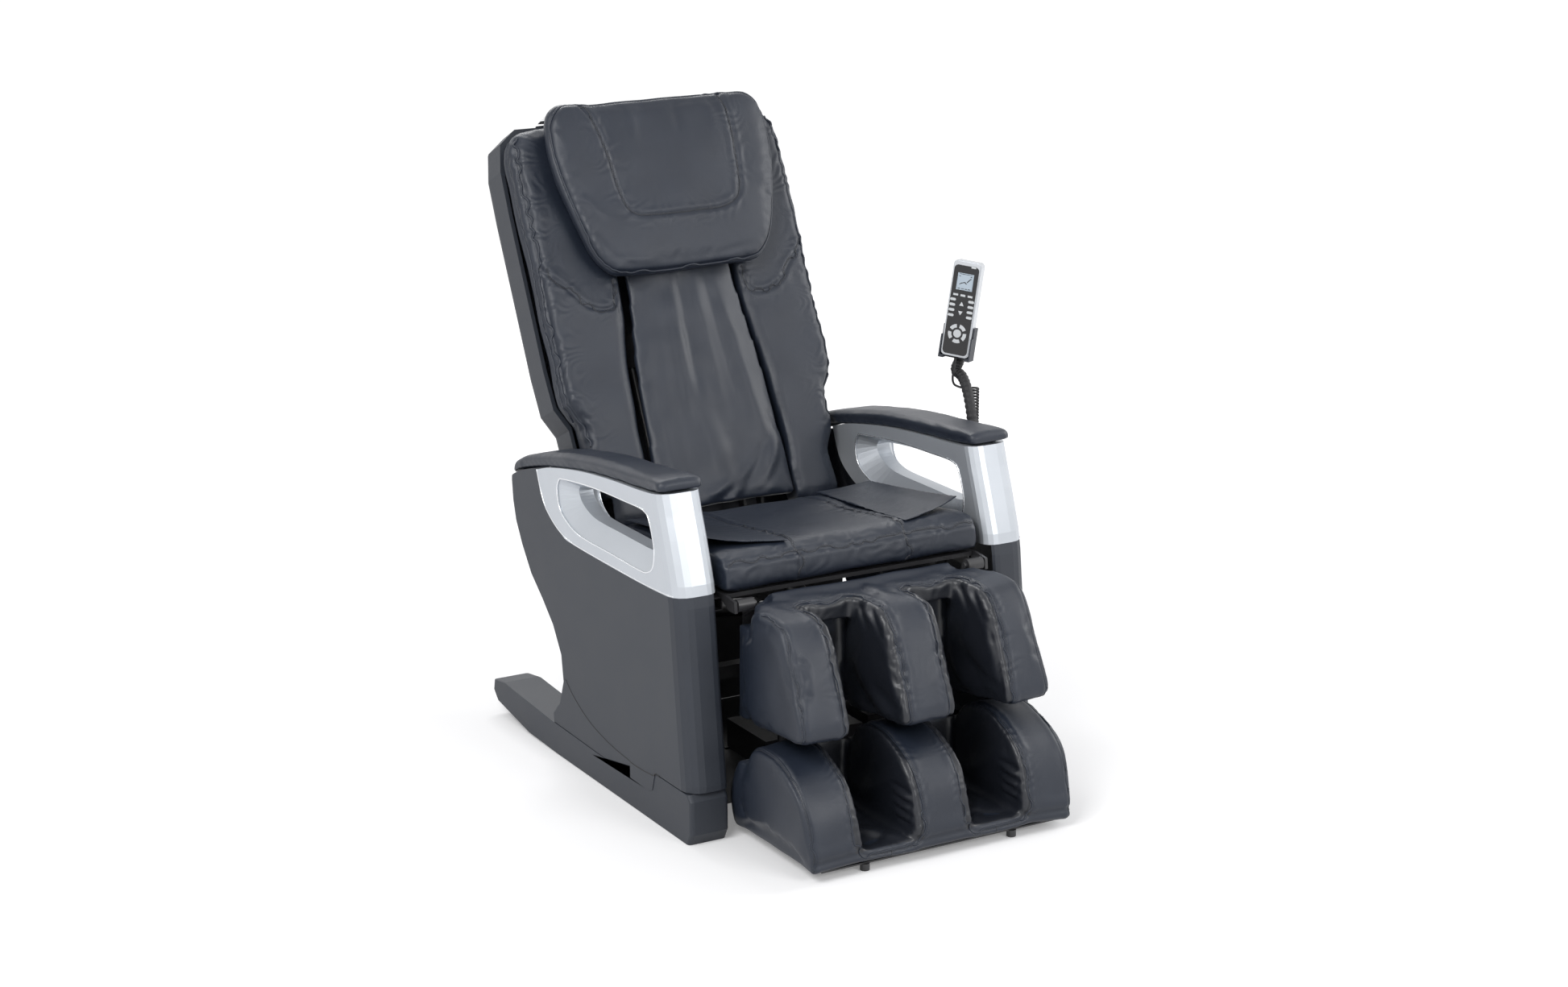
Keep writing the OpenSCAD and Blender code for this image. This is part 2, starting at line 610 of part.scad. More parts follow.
module lift_screw() {
    color([0.7, 0.7, 0.72]) lean() translate([0, rail_v, rail_low - 30])
        cylinder(d = screw_d, h = rail_high - rail_low + 57);
}
module massage_carriage() {
    color([0.35, 0.36, 0.38]) lean() difference() {
        union() {
            slab(rail_v - 9, rail_v + 9) translate([-rail_gap / 2 - 14, carriage_u - 34])
                square([rail_gap + 28, 68]);
            // cheeks of the kneading shaft
            for (s = [-1, 1]) across(s * cheek_x - 4, s * cheek_x + 4)
                translate([0, carriage_u]) polygon([[rail_v - 5, -28], [shaft_v - 4, -13],
                    [shaft_v - 12, -4], [shaft_v - 12, 4], [shaft_v - 4, 13], [rail_v - 5, 28]]);
        }
        for (s = [-1, 1]) translate([s * rail_gap / 2, rail_v, carriage_u - 40])
            cylinder(d = rail_d + 2 * fit, h = 80);
        translate([0, rail_v, carriage_u - 40]) cylinder(d = screw_d + 2 * fit, h = 80);
        rod_x(-60, 60, [shaft_v, carriage_u], shaft_r + fit);
        // slots for the arms, and a shallow relief where they rock
        for (s = [-1, 1]) translate([s * 70 - 16, rail_v - 20, carriage_u - 24]) {
            cube([32, 40, 48]);
            translate([0, 0, -16]) cube([32, 12.5, 80]);
        }
    }
}
module lift_motor() {
    color([0.25, 0.25, 0.28]) lean() difference() {
        union() {
            translate([-24, rail_v - 16, carriage_u + 34]) cube([48, 32, 26]);
            translate([24, rail_v + 9, carriage_u + 50]) rotate([0, 90, 0])
                cylinder(d = 30, h = 44);
        }
        translate([0, rail_v, carriage_u + 30]) cylinder(d = screw_d + 2 * fit, h = 40);
    }
}
module knead_motor() {
    color([0.3, 0.3, 0.33]) lean() {
        translate([-30, rail_v + 9, carriage_u - 30]) cube([60, 24, 56]);
        translate([30, rail_v + 23, carriage_u - 4]) rotate([0, 90, 0]) cylinder(d = 27, h = 62);
    }
}
module knead_shaft() {
    color([0.7, 0.7, 0.72]) lean() {
        rod_x(-arm_x - arm_t - 1, arm_x + arm_t + 1, [shaft_v, carriage_u], shaft_r);
        // worm wheel with its teeth
        difference() {
            rod_x(-8, 8, [shaft_v, carriage_u], 10.5);
            for (a = [0 : 30 : 330]) rod_x(-9, 9, [shaft_v, carriage_u]
                + 11.5 * [cos(a), sin(a)], 2);
        }
    }
}
module massage_arm() {
    lean() translate([0, 0, carriage_u]) difference() {
        union() {
            across(arm_x, arm_x + arm_t) polygon(smooth([[shaft_v + 13, 0], [shaft_v + 8, 20],
                [roll_v + 9, roll_reach + 2], [roll_v, roll_reach + 11],
                [roll_v - 9, roll_reach + 2], [shaft_v - 12, 18], [shaft_v - 14, 0],
                [shaft_v - 12, -18], [roll_v - 9, -roll_reach - 2], [roll_v, -roll_reach - 11],
                [roll_v + 9, -roll_reach - 2], [shaft_v + 8, -20]], 4));
            for (s = [-1, 1]) rod_x(arm_x + 2, roll_x + roller_w + 2,
                [roll_v, s * roll_reach], axle_roll);
        }
        rod_x(arm_x - 1, arm_x + arm_t + 1, [shaft_v, 0], shaft_r + fit);
    }
}
module massage_arm_right() { color([0.9, 0.9, 0.88]) massage_arm(); }
module massage_arm_left() { color([0.9, 0.9, 0.88]) mirror([1, 0, 0]) massage_arm(); }

module roller(s) {
    color([0.85, 0.78, 0.6]) lean() translate([roll_x, roll_v, carriage_u + s * roll_reach])
        rotate([0, 90, 0]) difference() {
            rotate_extrude() polygon([[0, 0], [roller_d / 2 - 7, 0], [roller_d / 2 - 2, 3],
                [roller_d / 2, roller_w / 2], [roller_d / 2 - 2, roller_w - 3],
                [roller_d / 2 - 7, roller_w], [0, roller_w]]);
            translate([0, 0, -1]) cylinder(r = axle_roll + fit, h = roller_w + 2);
        }
}
module roller_upper_right() { roller(1); }
module roller_lower_right() { roller(-1); }
module roller_upper_left() { mirror([1, 0, 0]) roller(1); }
module roller_lower_left() { mirror([1, 0, 0]) roller(-1); }

// ---- leg rest ----
calf_back = -303;
sleeve = [-288, 150];
leg_lever = [-278, 400];
sleeve_low = 212;
sleeve_high = 400;

module leg_frame() {
    color(steel) difference() {
        union() {
            // plate behind the calf unit
            translate([25 - calf_w / 2, calf_back - 3, 212]) cube([calf_w - 50, 3, 208]);
            pair() {
                rod_x(lug_x - 40, lug_x - 6, leg_pivot, 12);
                across(lug_x - 38, lug_x - 32) polygon([leg_pivot + [-10, -8], leg_pivot + [8, 8],
                    [calf_back, 420], [calf_back, 406], [calf_back - 3, 406]]);
                translate([sleeve[1], sleeve[0], sleeve_low]) cylinder(d = rod_d + 8,
                    h = sleeve_high - sleeve_low);
                translate([sleeve[1] - 4, calf_back - 1, sleeve_low]) cube([8,
                    sleeve[0] - calf_back - rod_d / 2, sleeve_high - sleeve_low]);
            }
            for (s = [-1, 1]) across(-act_x + s * 20 - 3, -act_x + s * 20 + 3)
                polygon([[calf_back - 1, 412], leg_lever + [2, 13], leg_lever + [12, 0],
                    leg_lever + [2, -13], [calf_back - 1, 352]]);
            rod_x(-act_x - 23, -act_x + 23, leg_lever, pin_r - fit);
        }
        pair() {
            rod_x(lug_x - 60, lug_x, leg_pivot, leg_pin_r);
            translate([sleeve[1], sleeve[0], 0]) cylinder(d = rod_d + 2 * fit, h = 500);
        }
    }
}

// Trough lining and the padded back of the calf unit.
cradle_line = curve([[calf_back - 4, 216], [calf_back - 4, 422], [-316, 432], [-336, 430],
    [-346, 412], [-351.5, 330], [-351.5, 226], [-344, 213], [-320, 210], [calf_back - 4, 216]], 2);
module calf_cradle() {
    color(leather) difference() {
        puff_across(cradle_line, -calf_w / 2 + 2, calf_w / 2 - 2, 6);
        // room for the hinge lugs
        for (x = [-1, 1] * (lug_x - 16)) translate([x - 30, leg_pivot[0] - 24, leg_pivot[1] - 34])
            cube([60, 60, 60]);
    }
}
calf_line = smooth([[-353.4, 238], [-353, 330], [-353, 402], [-357, 428], [-376, 442],
    [-410, 446], [-455, 445], [-484, 434], [-510, 398], [-540, 336], [-560, 286], [-569, 255],
    [-560, 238], [-530, 230], [-469, 221], [-400, 213], [-374, 211], [-358, 219]], 2);
module calf_bolster(x0, x1) { color(leather) puff_across(calf_line, x0, x1, 14); }
module calf_bolster_right() { calf_bolster(calf_w / 2 - side_w, calf_w / 2); }
module calf_bolster_left() { mirror([1, 0, 0]) calf_bolster_right(); }
module calf_bolster_centre() { calf_bolster(-mid_w / 2, mid_w / 2); }

foot_back = -312;
// Slide rods of the foot unit, with the plate that carries it and its floor bumpers.
module foot_frame() {
    color(steel) {
        pair() {
            translate([sleeve[1], sleeve[0], 34]) cylinder(d = rod_d, h = 352);
            translate([sleeve[1] - 18, foot_back, 30]) cube([36, sleeve[0] - foot_back + 7, 24]);
            translate([foot_w / 2 - 126, -600, 0.5]) cylinder(r = 9, h = 13);
            translate([foot_w / 2 - 126, -380, 0.5]) cylinder(r = 9, h = 13);
        }
        translate([-240, foot_back - 3, 18]) cube([480, 3, 110]);
        translate([-250, -604, 13]) cube([500, 604 + foot_back, 3]);
    }
}
foot_base_line = concat([[-420, 16.3], [-336, 16.3]], curve([[-320, 24], [-317, 50], [-317, 92],
    [-336, 140], [-350, 156], [-364, 160], [-372, 150], [-370, 100], [-376, 62], [-402, 46],
    [-500, 42], [-590, 42], [-622, 38], [-630, 26], [-620, 18]], 2), [[-600, 16.3], [-510, 16.3]]);
module foot_base() {
    color(leather) puff_across(foot_base_line, -foot_w / 2 + 1, foot_w / 2 - 1, 5,
        [-344, 30]);
}
foot_line = smooth([[-378, 66], [-373, 100], [-374, 146], [-384, 170], [-406, 194],
    [-430, 203], [-470, 205], [-500, 200], [-545, 182], [-582, 156], [-606, 120], [-622, 76],
    [-630, 50], [-620, 43.4], [-560, 42.4], [-470, 43.2], [-404, 47.6]], 2);
module foot_bolster(x0, x1) { color(leather) puff_across(foot_line, x0, x1, 12); }
module foot_bolster_right() { foot_bolster(foot_w / 2 - side_w - 8, foot_w / 2); }
module foot_bolster_left() { mirror([1, 0, 0]) foot_bolster_right(); }
module foot_bolster_centre() { foot_bolster(-mid_w / 2 - 2, mid_w / 2 + 2); }

// ---- actuators: each is drawn along +Y from its fork pin and aimed at its lever ----
module aim(x, a, b) {
    translate([x, a[0], a[1]]) rotate([atan2(b[1] - a[1], b[0] - a[0]), 0, 0]) children();
}
module actuator_body(l) {
    color([0.3, 0.31, 0.33]) difference() {
        union() {
            rod_x(-12, 12, [0, 0], 13);
            translate([-9, 0, -12]) cube([18, 30, 24]);
            translate([0, 26, 0]) rotate([-90, 0, 0]) cylinder(r = 17, h = l);
            translate([0, 30, -34]) rotate([-90, 0, 0]) cylinder(r = 17, h = 78);
            translate([-14, 30, -34]) cube([28, 26, 34]);
        }
        rod_x(-13, 13, [0, 0], pin_r);
        translate([0, 44, 0]) rotate([-90, 0, 0]) cylinder(r = 9 + fit, h = l);
    }
}
module actuator_rod(from, l, eye) {
    color([0.75, 0.76, 0.78]) difference() {
        union() {
            translate([0, from, 0]) rotate([-90, 0, 0]) cylinder(r = 9, h = l - from - eye - 1.5);
            rod_x(-8, 8, [l, 0], eye + 3.5);
        }
        rod_x(-10, 10, [l, 0], eye);
    }
}
back_pin = back_mount + [fork, 0];
leg_pin = leg_mount - [fork, 0];
module back_actuator() { aim(act_x, back_pin, lever_at) actuator_body(190); }
module back_rod() {
    aim(act_x, back_pin, lever_at) actuator_rod(120, norm(lever_at - back_pin), 9);
}
module leg_actuator() { aim(-act_x, leg_pin, leg_lever) actuator_body(280); }
module leg_rod() {
    aim(-act_x, leg_pin, leg_lever) actuator_rod(130, norm(leg_lever - leg_pin), 13.5);
}

// ---- mains inlet and switch, on the rear cross tube ----
inlet_x = 190;
inlet_y = post_rear + tube_s / 2;
inlet_z = 250 + tube_s / 2 + 2;
module power_inlet() {
    color([0.08, 0.08, 0.08]) difference() {
        union() {
            translate([inlet_x - 40, inlet_y, inlet_z - 20]) cube([80, 4, 78]);
            translate([inlet_x - 34, inlet_y - 26, inlet_z]) cube([68, 27, 50]);
        }
        translate([inlet_x - 28, inlet_y - 14, inlet_z + 7]) cube([26, 30, 36]);
        translate([inlet_x + 8, inlet_y - 20, inlet_z + 11]) cube([20, 36, 28]);
    }
}
module power_switch() {
    c = [inlet_y, inlet_z + 25];
    color([0.5, 0.08, 0.06]) across(inlet_x + 8.5, inlet_x + 27.5)
        polygon([c + [-8, -3], c + [-3, -12.6], c + [3.4, -12.6], c + [5, 0], c + [7.4, 11.6],
            c + [3, 12.6], c + [-3, 12.6], c + [-8, 3]]);
}

// ---- handset, its holder and its curled cord ----
hand_at = [half_w + 26, -14, 752];
hand_turn = -53;
hand_lean = 6;
socket = [half_w + 22, -84, 430];
module hold() {
    translate(hand_at) rotate([-hand_lean, hand_lean, hand_turn]) children();
}
// Flat rectangle with round corners, centred in x and starting at y = 0.
module round_plate(w, l, r) {
    for (x = [0, 1]) translate([x == 0 ? -w / 2 : -w / 2 + r, x == 0 ? r : 0])
        square([x == 0 ? w : w - 2 * r, x == 0 ? l - 2 * r : l]);
    for (x = [-1, 1] * (w / 2 - r), y = [r, l - r]) translate([x, y]) circle(r);
}
// Extrudes a front view from depth y0 to y1.
module front_plate(y0, y1) {
    translate([0, y1, 0]) rotate([90, 0, 0]) linear_extrude(y1 - y0) children();
}
foot_clear = 6;
face_t = 3;
key_up = 1.2;
key_deep = 2.6;

module pill(p, w, h) { translate(p) resize([w, h]) circle(10); }
screen = [0, 132, 34, 34];
menu_at = [[-15, 122], [0, 122], [15, 122], [14, 180]];
option_at = [for (i = [0 : 3], x = [-19, 19]) [x, 112 - 10.5 * i]];
arrow_at = [[0, 104], [0, 88]];
ring_at = [0, 46];
module menu_shape(d = 0) {
    for (p = menu_at) translate(p + [-5 - d, -2 - d]) square([10 + 2 * d, 4 + 2 * d]);
}
module option_shape(d = 0) {
    for (p = option_at) {
        translate(p + [-3.5 - d, -2.6 - d]) square([7 + 2 * d, 5.2 + 2 * d]);
        for (s = [-1, 1]) translate(p + [s * 3.5, 0]) circle(2.6 + d);
    }
    for (i = [0, 1]) translate(arrow_at[i]) rotate(90 + 180 * i) circle(r = 5.4 + 2 * d, $fn = 3);
}
module ring_shape(d = 0) {
    for (i = [0 : 4]) let (a = 54 + 72 * i, w = 25 + 3 * d) translate(ring_at)
        polygon(concat([for (k = [-3 : 3]) (19 + d) * [cos(a + w * k / 3), sin(a + w * k / 3)]],
            [for (k = [3 : -1 : -3]) (12 - d) * [cos(a + w * k / 3), sin(a + w * k / 3)]]));
    translate(ring_at) circle(8 + d);
}
module handset_body() {
    color([0.75, 0.78, 0.82]) hold() translate([0, 0, foot_clear]) difference() {
        union() {
            front_plate(-hand_t / 2 + 2, hand_t / 2 - 3) round_plate(hand_w, hand_l, 9);
            front_plate(hand_t / 2 - 4, hand_t / 2) translate([0, 3]) round_plate(hand_w - 6,
                hand_l - 6, 8);
            front_plate(-hand_t / 2, -hand_t / 2 + 3) translate([0, 2]) round_plate(hand_w - 4,
                hand_l - 4, 8);
        }
        front_plate(-hand_t / 2 - 1, -hand_t / 2 + 1.2) translate([screen[0] - screen[2] / 2,
            screen[1]]) square([screen[2], screen[3]]);
        front_plate(-hand_t / 2 - 1, -hand_t / 2 + key_deep) {
            menu_shape(0.25);
            option_shape(0.25);
            ring_shape(0.25);
        }
    }
}
module handset_screen() {
    color([0.65, 0.78, 0.92]) hold() translate([0, 0, foot_clear])
        front_plate(-hand_t / 2 + 0.1, -hand_t / 2 + 1.2) translate([screen[0] - screen[2] / 2
            + gap, screen[1] + gap]) square([screen[2] - 2 * gap, screen[3] - 2 * gap]);
}
module keys() {
    color([0.85, 0.87, 0.9]) hold() translate([0, 0, foot_clear])
        front_plate(-hand_t / 2 - key_up, -hand_t / 2 + key_deep - 1.2) children();
}
module menu_keys() { keys() menu_shape(); }
module option_keys() { keys() option_shape(); }
module ring_keys() { keys() ring_shape(); }

cup_h = 66;
stem_y = 24;
cup_wall = 3;
module handset_holder() {
    c = 0.4;
    w = hand_w / 2 + c;
    t = hand_t / 2 + c;
    color(plastic) hold() difference() {
        union() {
            translate([-w - cup_wall, -t - 1, 0]) cube([2 * w + 2 * cup_wall, 2 * t + 1
                + cup_wall, cup_h]);
            translate([-13, t, 0]) cube([26, 2 * stem_y - 2 * t, 30]);
        }
        translate([-w, -t - 2, foot_clear - c]) cube([2 * w, 2 * t + 2, cup_h]);
        translate([-w + 7, -t - 8, -1]) cube([2 * w - 14, 8 + t + 5, foot_clear + 8]);
        for (s = [-1, 1]) translate([s * (w + 1.5) - 3, -t - 1.5, 46]) cube([6, 9, 40]);
    }
}

// A round tube along points, with its rings turned smoothly from one to the next.
function unit(v) = v / norm(v);
function heading(p, i) = unit(p[min(i + 1, len(p) - 1)] - p[max(i - 1, 0)]);
function turned(p, n, i) = i == len(p) ? [] : let (h = heading(p, i), v = unit(n - h * (n * h)))
    concat([v], turned(p, v, i + 1));
module pipe(p, r, sides) {
    side = turned(p, unit(cross(heading(p, 0), [0.3, 0.9, 0.2])), 0);
    skin([for (i = [0 : len(p) - 1]) let (h = heading(p, i), u = side[i], w = cross(h, u),
        q = is_list(r) ? r[i] : r) [for (k = [0 : sides - 1]) let (a = 360 * k / sides)
            p[i] + q * (u * cos(a) + w * sin(a))]]);
}

// Ribbed gooseneck from the clamp on the side shell up to the holder.
// The holder's stem is at [0, stem_y, 0] in the turned frame, which is stem_at here.
stem_at = hand_at + [19.1, 14.4, -2.6];
stalk_line = curve([socket + [0, 0, 8], socket + [0, 0, 90], [half_w + 24, -84, 610],
    [half_w + 25, -76, 652],
    [half_w + 34, -48, 690], [half_w + 44, -14, 712], [half_w + 43.6, 10, 722], stem_at + [-1.2, 0.2, -9],
    stem_at + [0, 0, -0.9]], 8);
module handset_stalk() {
    m = len(stalk_line) - 1;
    color([0.12, 0.12, 0.13]) {
        pipe(stalk_line, [for (i = [0 : m]) stalk_d / 2 - (i > 2 && i < m - 2 && i % 2 == 0 ? 1.6 : 0)],
            14);
        translate(socket + [0, 0, -14]) cylinder(r = stalk_d / 2 + 4, h = 28);
        translate([half_w + gap, socket[1] - 16, socket[2] - 14]) cube([16, 32, 28]);
    }
}

// Cord: a short lead under the handset, then curls down to a grommet behind the arm pad.
cord_out = hand_at + [0.3, -0.3, 5.4];
curl_top = [half_w + 62, -30, 690];
curl_turns = 14;
curl_pitch = 6;
curl_low = curl_top[2] - curl_turns * curl_pitch;
curl_r = (curl_d - cord_d) / 2;
lead_line = curve([cord_out, cord_out + [-0.6, 0, -9], [half_w + 23, -14, 730],
    [half_w + 23, -10, 712], [half_w + 30, -5, 698], [half_w + 44, -2, 690],
    [half_w + 58, -6, 686], [half_w + 66, -16, 688.5],
    curl_top + [curl_r, 0.5, 0.2]], 5);
module handset_lead() { color([0.06, 0.06, 0.07]) pipe(lead_line, cord_d / 2, 8); }
coil_line = concat([for (i = [0 : curl_turns * 8]) let (a = 45 * i) [curl_top[0] + curl_r * cos(a),
        curl_top[1] - curl_r * sin(a), curl_top[2] - curl_pitch * i / 8]],
    curve([[curl_top[0] + curl_r - 1, curl_top[1] - 4, curl_low - 3],
        [half_w + 62, -36, curl_low - 14], [half_w + 54, -40, 560], [half_w + 48, -42, 500],
        [half_w + 44, -42, 460], [half_w + 36, -42, 438], [half_w + 20, -42, 430],
        [half_w + gap, -42, 430]], 3));
module handset_coil() { color([0.06, 0.06, 0.07]) pipe(coil_line, cord_d / 2, 6); }
echo(curl_gap = curl_pitch - cord_d);

base_frame();
runner_left();
runner_right();
side_shell_left();
side_shell_right();
arm_trim_left();
arm_trim_right();
arm_pad_left();
arm_pad_right();
seat_frame();
seat_cushion();
seat_flaps();
vibration_motor();
control_box();
air_pump();
power_inlet();
power_switch();
wheel_left();
wheel_right();
handset_stalk();
handset_holder();
back_frame();
back_shell();
bolster_left();
bolster_right();
back_panel();
head_pillow();
pillow_flap();
lift_motor();
lift_screw();
massage_carriage();
knead_motor();
knead_shaft();
massage_arm_left();
massage_arm_right();
roller_upper_left();
roller_lower_left();
roller_upper_right();
roller_lower_right();
leg_frame();
calf_cradle();
calf_bolster_left();
calf_bolster_centre();
calf_bolster_right();
foot_frame();
foot_base();
foot_bolster_left();
foot_bolster_centre();
foot_bolster_right();
back_actuator();
back_rod();
leg_actuator();
leg_rod();
handset_body();
handset_screen();
menu_keys();
option_keys();
ring_keys();
handset_lead();
handset_coil();
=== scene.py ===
# %% [markdown]
# # A massage chair, dressed around its working model
# The working model already holds every frame, hinge, motor and screw at its real size. This
# notebook gives the chair its looks: stuffed leather with seams and piping, moulded shells,
# painted arm trims and the handset. Every piece is made in metres in the model's own frame, so
# it goes where the model says and nothing has to be fitted by eye.

# %% Load the working model
import json
import math

import bmesh
import bpy
import numpy as np
from mathutils import Matrix, Vector, noise
from mathutils.bvhtree import BVHTree
from mathutils.kdtree import KDTree

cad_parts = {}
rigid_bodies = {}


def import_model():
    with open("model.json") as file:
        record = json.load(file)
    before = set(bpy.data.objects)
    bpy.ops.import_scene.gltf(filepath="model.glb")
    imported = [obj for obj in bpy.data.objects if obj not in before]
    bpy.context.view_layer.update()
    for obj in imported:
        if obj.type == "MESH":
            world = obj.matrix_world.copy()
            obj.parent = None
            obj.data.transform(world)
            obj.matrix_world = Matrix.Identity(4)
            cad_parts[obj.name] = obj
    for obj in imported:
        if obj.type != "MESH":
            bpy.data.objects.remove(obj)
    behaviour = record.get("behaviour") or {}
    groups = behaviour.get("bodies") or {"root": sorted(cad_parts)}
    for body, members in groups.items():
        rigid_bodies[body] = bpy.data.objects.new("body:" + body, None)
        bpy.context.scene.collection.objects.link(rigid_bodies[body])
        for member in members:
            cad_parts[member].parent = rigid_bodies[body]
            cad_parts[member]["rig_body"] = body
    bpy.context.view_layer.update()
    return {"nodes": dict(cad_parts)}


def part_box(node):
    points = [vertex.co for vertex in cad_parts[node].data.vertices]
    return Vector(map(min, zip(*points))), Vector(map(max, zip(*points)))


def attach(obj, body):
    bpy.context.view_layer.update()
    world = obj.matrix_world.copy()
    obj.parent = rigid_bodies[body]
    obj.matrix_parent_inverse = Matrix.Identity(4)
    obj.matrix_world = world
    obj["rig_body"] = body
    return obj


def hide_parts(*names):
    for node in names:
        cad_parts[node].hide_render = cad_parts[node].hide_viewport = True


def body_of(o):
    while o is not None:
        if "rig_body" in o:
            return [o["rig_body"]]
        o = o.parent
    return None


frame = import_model()
MM = 0.001
SIDES = ((-1, "left"), (1, "right"))

# %% [markdown]
# The back leans on its hinge, so its pieces are easier to place in the back's own directions:
# across the chair, into the back, and up along it. One small function turns such a place into
# a point of the chair.

# %% The back's own directions
HINGE = Vector((0, 0.185, 0.400))
RAKE = math.radians(26)
ACROSS = Vector((1, 0, 0))
INWARD = Vector((0, math.cos(RAKE), -math.sin(RAKE)))
UPWARD = Vector((0, math.sin(RAKE), math.cos(RAKE)))


def on_back(across, inward, up):
    """A point from millimetres across, into and up along the back."""
    return HINGE + (ACROSS * across + INWARD * inward + UPWARD * up) * MM


def at(*place):
    """A point from millimetres in the chair's own frame."""
    return Vector(place) * MM


print("top of the back:", on_back(0, 0, 930))

# %% [markdown]
# ## Camera
# The camera stands a little to the sitter's right and above the chair, with a lens a bit longer
# than a standard one, so that the verticals stay calm. Its matrix is built from two angles:
# the columns are its right, its up and the way it looks, turned round.

# %% Camera
CAMERA_PLACE = Vector((-2.802, -4.866, 2.124))
TURN = math.radians(-30.14)
TILT = math.radians(15.85)

lens = bpy.data.cameras.new("view")
lens.sensor_width = 36
lens.lens = 69.36
lens.clip_end = 50
camera = bpy.data.objects.new("view", lens)
bpy.context.scene.collection.objects.link(camera)
right = Vector((math.cos(TURN), math.sin(TURN), 0))
ahead = Vector((-math.sin(TURN) * math.cos(TILT), math.cos(TURN) * math.cos(TILT),
                -math.sin(TILT)))
above = right.cross(ahead)
camera.matrix_world = Matrix((
    (right.x, above.x, -ahead.x, CAMERA_PLACE.x),
    (right.y, above.y, -ahead.y, CAMERA_PLACE.y),
    (right.z, above.z, -ahead.z, CAMERA_PLACE.z),
    (0, 0, 0, 1)))
bpy.context.scene.camera = camera
print("camera looks along", [round(c, 2) for c in ahead])

# %% [markdown]
# ## Material helpers
# Leather, moulded plastic and paint differ in grain, gloss and wear. The grain is one node
# group that several materials use with their own sizes: cells of a Voronoi pattern for the
# pebbles, and noise for the slow unevenness of a hide. It only puts out a height and a mask.

# %% Building blocks of the materials
def group_with(name, inputs, outputs):
    """A shader node group with float inputs and outputs, and its two end nodes."""
    group = bpy.data.node_groups.new(name, "ShaderNodeTree")
    for title, value in inputs.items():
        kind = "NodeSocketFloat" if isinstance(value, (int, float)) else "NodeSocketVector"
        socket = group.interface.new_socket(name=title, in_out="INPUT", socket_type=kind)
        if kind == "NodeSocketFloat":
            socket.default_value = value
    for title in outputs:
        group.interface.new_socket(name=title, in_out="OUTPUT", socket_type="NodeSocketFloat")
    return group, group.nodes.new("NodeGroupInput"), group.nodes.new("NodeGroupOutput")


def node(tree, kind, **values):
    """A node whose settings and input values are given by name."""
    made = tree.nodes.new("ShaderNode" + kind)
    for key, value in values.items():
        if key in made.inputs:
            made.inputs[key].default_value = value
        else:
            setattr(made, key, value)
    return made


def maths(tree, what, first, second):
    """A Math node on two sockets or numbers."""
    made = node(tree, "Math", operation=what)
    for slot, value in zip(made.inputs, (first, second)):
        if isinstance(value, (int, float)):
            slot.default_value = value
        else:
            tree.links.new(value, slot)
    return made.outputs[0]


def grain_group():
    """Pebbled grain: Height for a bump and Mask for the slow unevenness of a hide."""
    group, given, result = group_with(
        "pebble grain", {"Place": (0, 0, 0), "Cells": 600.0, "Unevenness": 0.4},
        ["Height", "Mask"])
    cells = node(group, "TexVoronoi", feature="DISTANCE_TO_EDGE")
    drift = node(group, "TexNoise", Detail=2.0)
    slow = node(group, "TexNoise", Scale=14.0, Detail=3.0)
    for texture in (cells, drift, slow):
        group.links.new(given.outputs["Place"], texture.inputs["Vector"])
    group.links.new(given.outputs["Cells"], cells.inputs["Scale"])
    group.links.new(maths(group, "MULTIPLY", given.outputs["Cells"], 0.6),
                    drift.inputs["Scale"])
    pebble = maths(group, "MINIMUM", maths(group, "MULTIPLY", cells.outputs[0], 3.0), 1.0)
    rough = maths(group, "ADD", maths(group, "MULTIPLY", pebble, 0.6),
                  maths(group, "MULTIPLY", drift.outputs[0], 0.5))
    uneven = maths(group, "MULTIPLY", slow.outputs[0], given.outputs["Unevenness"])
    group.links.new(maths(group, "ADD", rough, uneven), result.inputs["Height"])
    group.links.new(slow.outputs[0], result.inputs["Mask"])
    return group


GRAIN = grain_group()
print("node group:", GRAIN.name)


# %% [markdown]
# A finish is then one function: a base colour that wanders a little between two tones, a
# roughness that wanders with it, the grain as a bump, and for paint a clear coat. Numbers that
# are the same all over stay on the shader's own sockets.

# %% A finish from two tones
def finish(name, dark, light, rough=(0.4, 0.5), cells=600.0, bump=0.2, depth=0.0004,
           metal=0.0, coat=0.0, coat_rough=0.1, specular=0.5, uneven=0.4):
    """A grained material; dark, light and rough are the two ends of its variation."""
    material = bpy.data.materials.new(name)
    material.use_nodes = True
    tree = material.node_tree
    shader = tree.nodes["Principled BSDF"]
    place = node(tree, "TexCoord")
    grain = tree.nodes.new("ShaderNodeGroup")
    grain.node_tree = GRAIN
    grain.inputs["Cells"].default_value = cells
    grain.inputs["Unevenness"].default_value = uneven
    tree.links.new(place.outputs["Object"], grain.inputs["Place"])
    tone = node(tree, "Mix", data_type="RGBA")
    tone.inputs["A"].default_value = (*dark, 1)
    tone.inputs["B"].default_value = (*light, 1)
    tree.links.new(grain.outputs["Mask"], tone.inputs["Factor"])
    tree.links.new(tone.outputs["Result"], shader.inputs["Base Color"])
    gloss = node(tree, "MapRange")
    gloss.inputs["To Min"].default_value, gloss.inputs["To Max"].default_value = rough
    tree.links.new(grain.outputs["Mask"], gloss.inputs["Value"])
    tree.links.new(gloss.outputs["Result"], shader.inputs["Roughness"])
    relief = node(tree, "Bump", Strength=bump, Distance=depth)
    tree.links.new(grain.outputs["Height"], relief.inputs["Height"])
    tree.links.new(relief.outputs["Normal"], shader.inputs["Normal"])
    shader.inputs["Metallic"].default_value = metal
    shader.inputs["Coat Weight"].default_value = coat
    shader.inputs["Coat Roughness"].default_value = coat_rough
    shader.inputs["Specular IOR Level"].default_value = specular
    return material


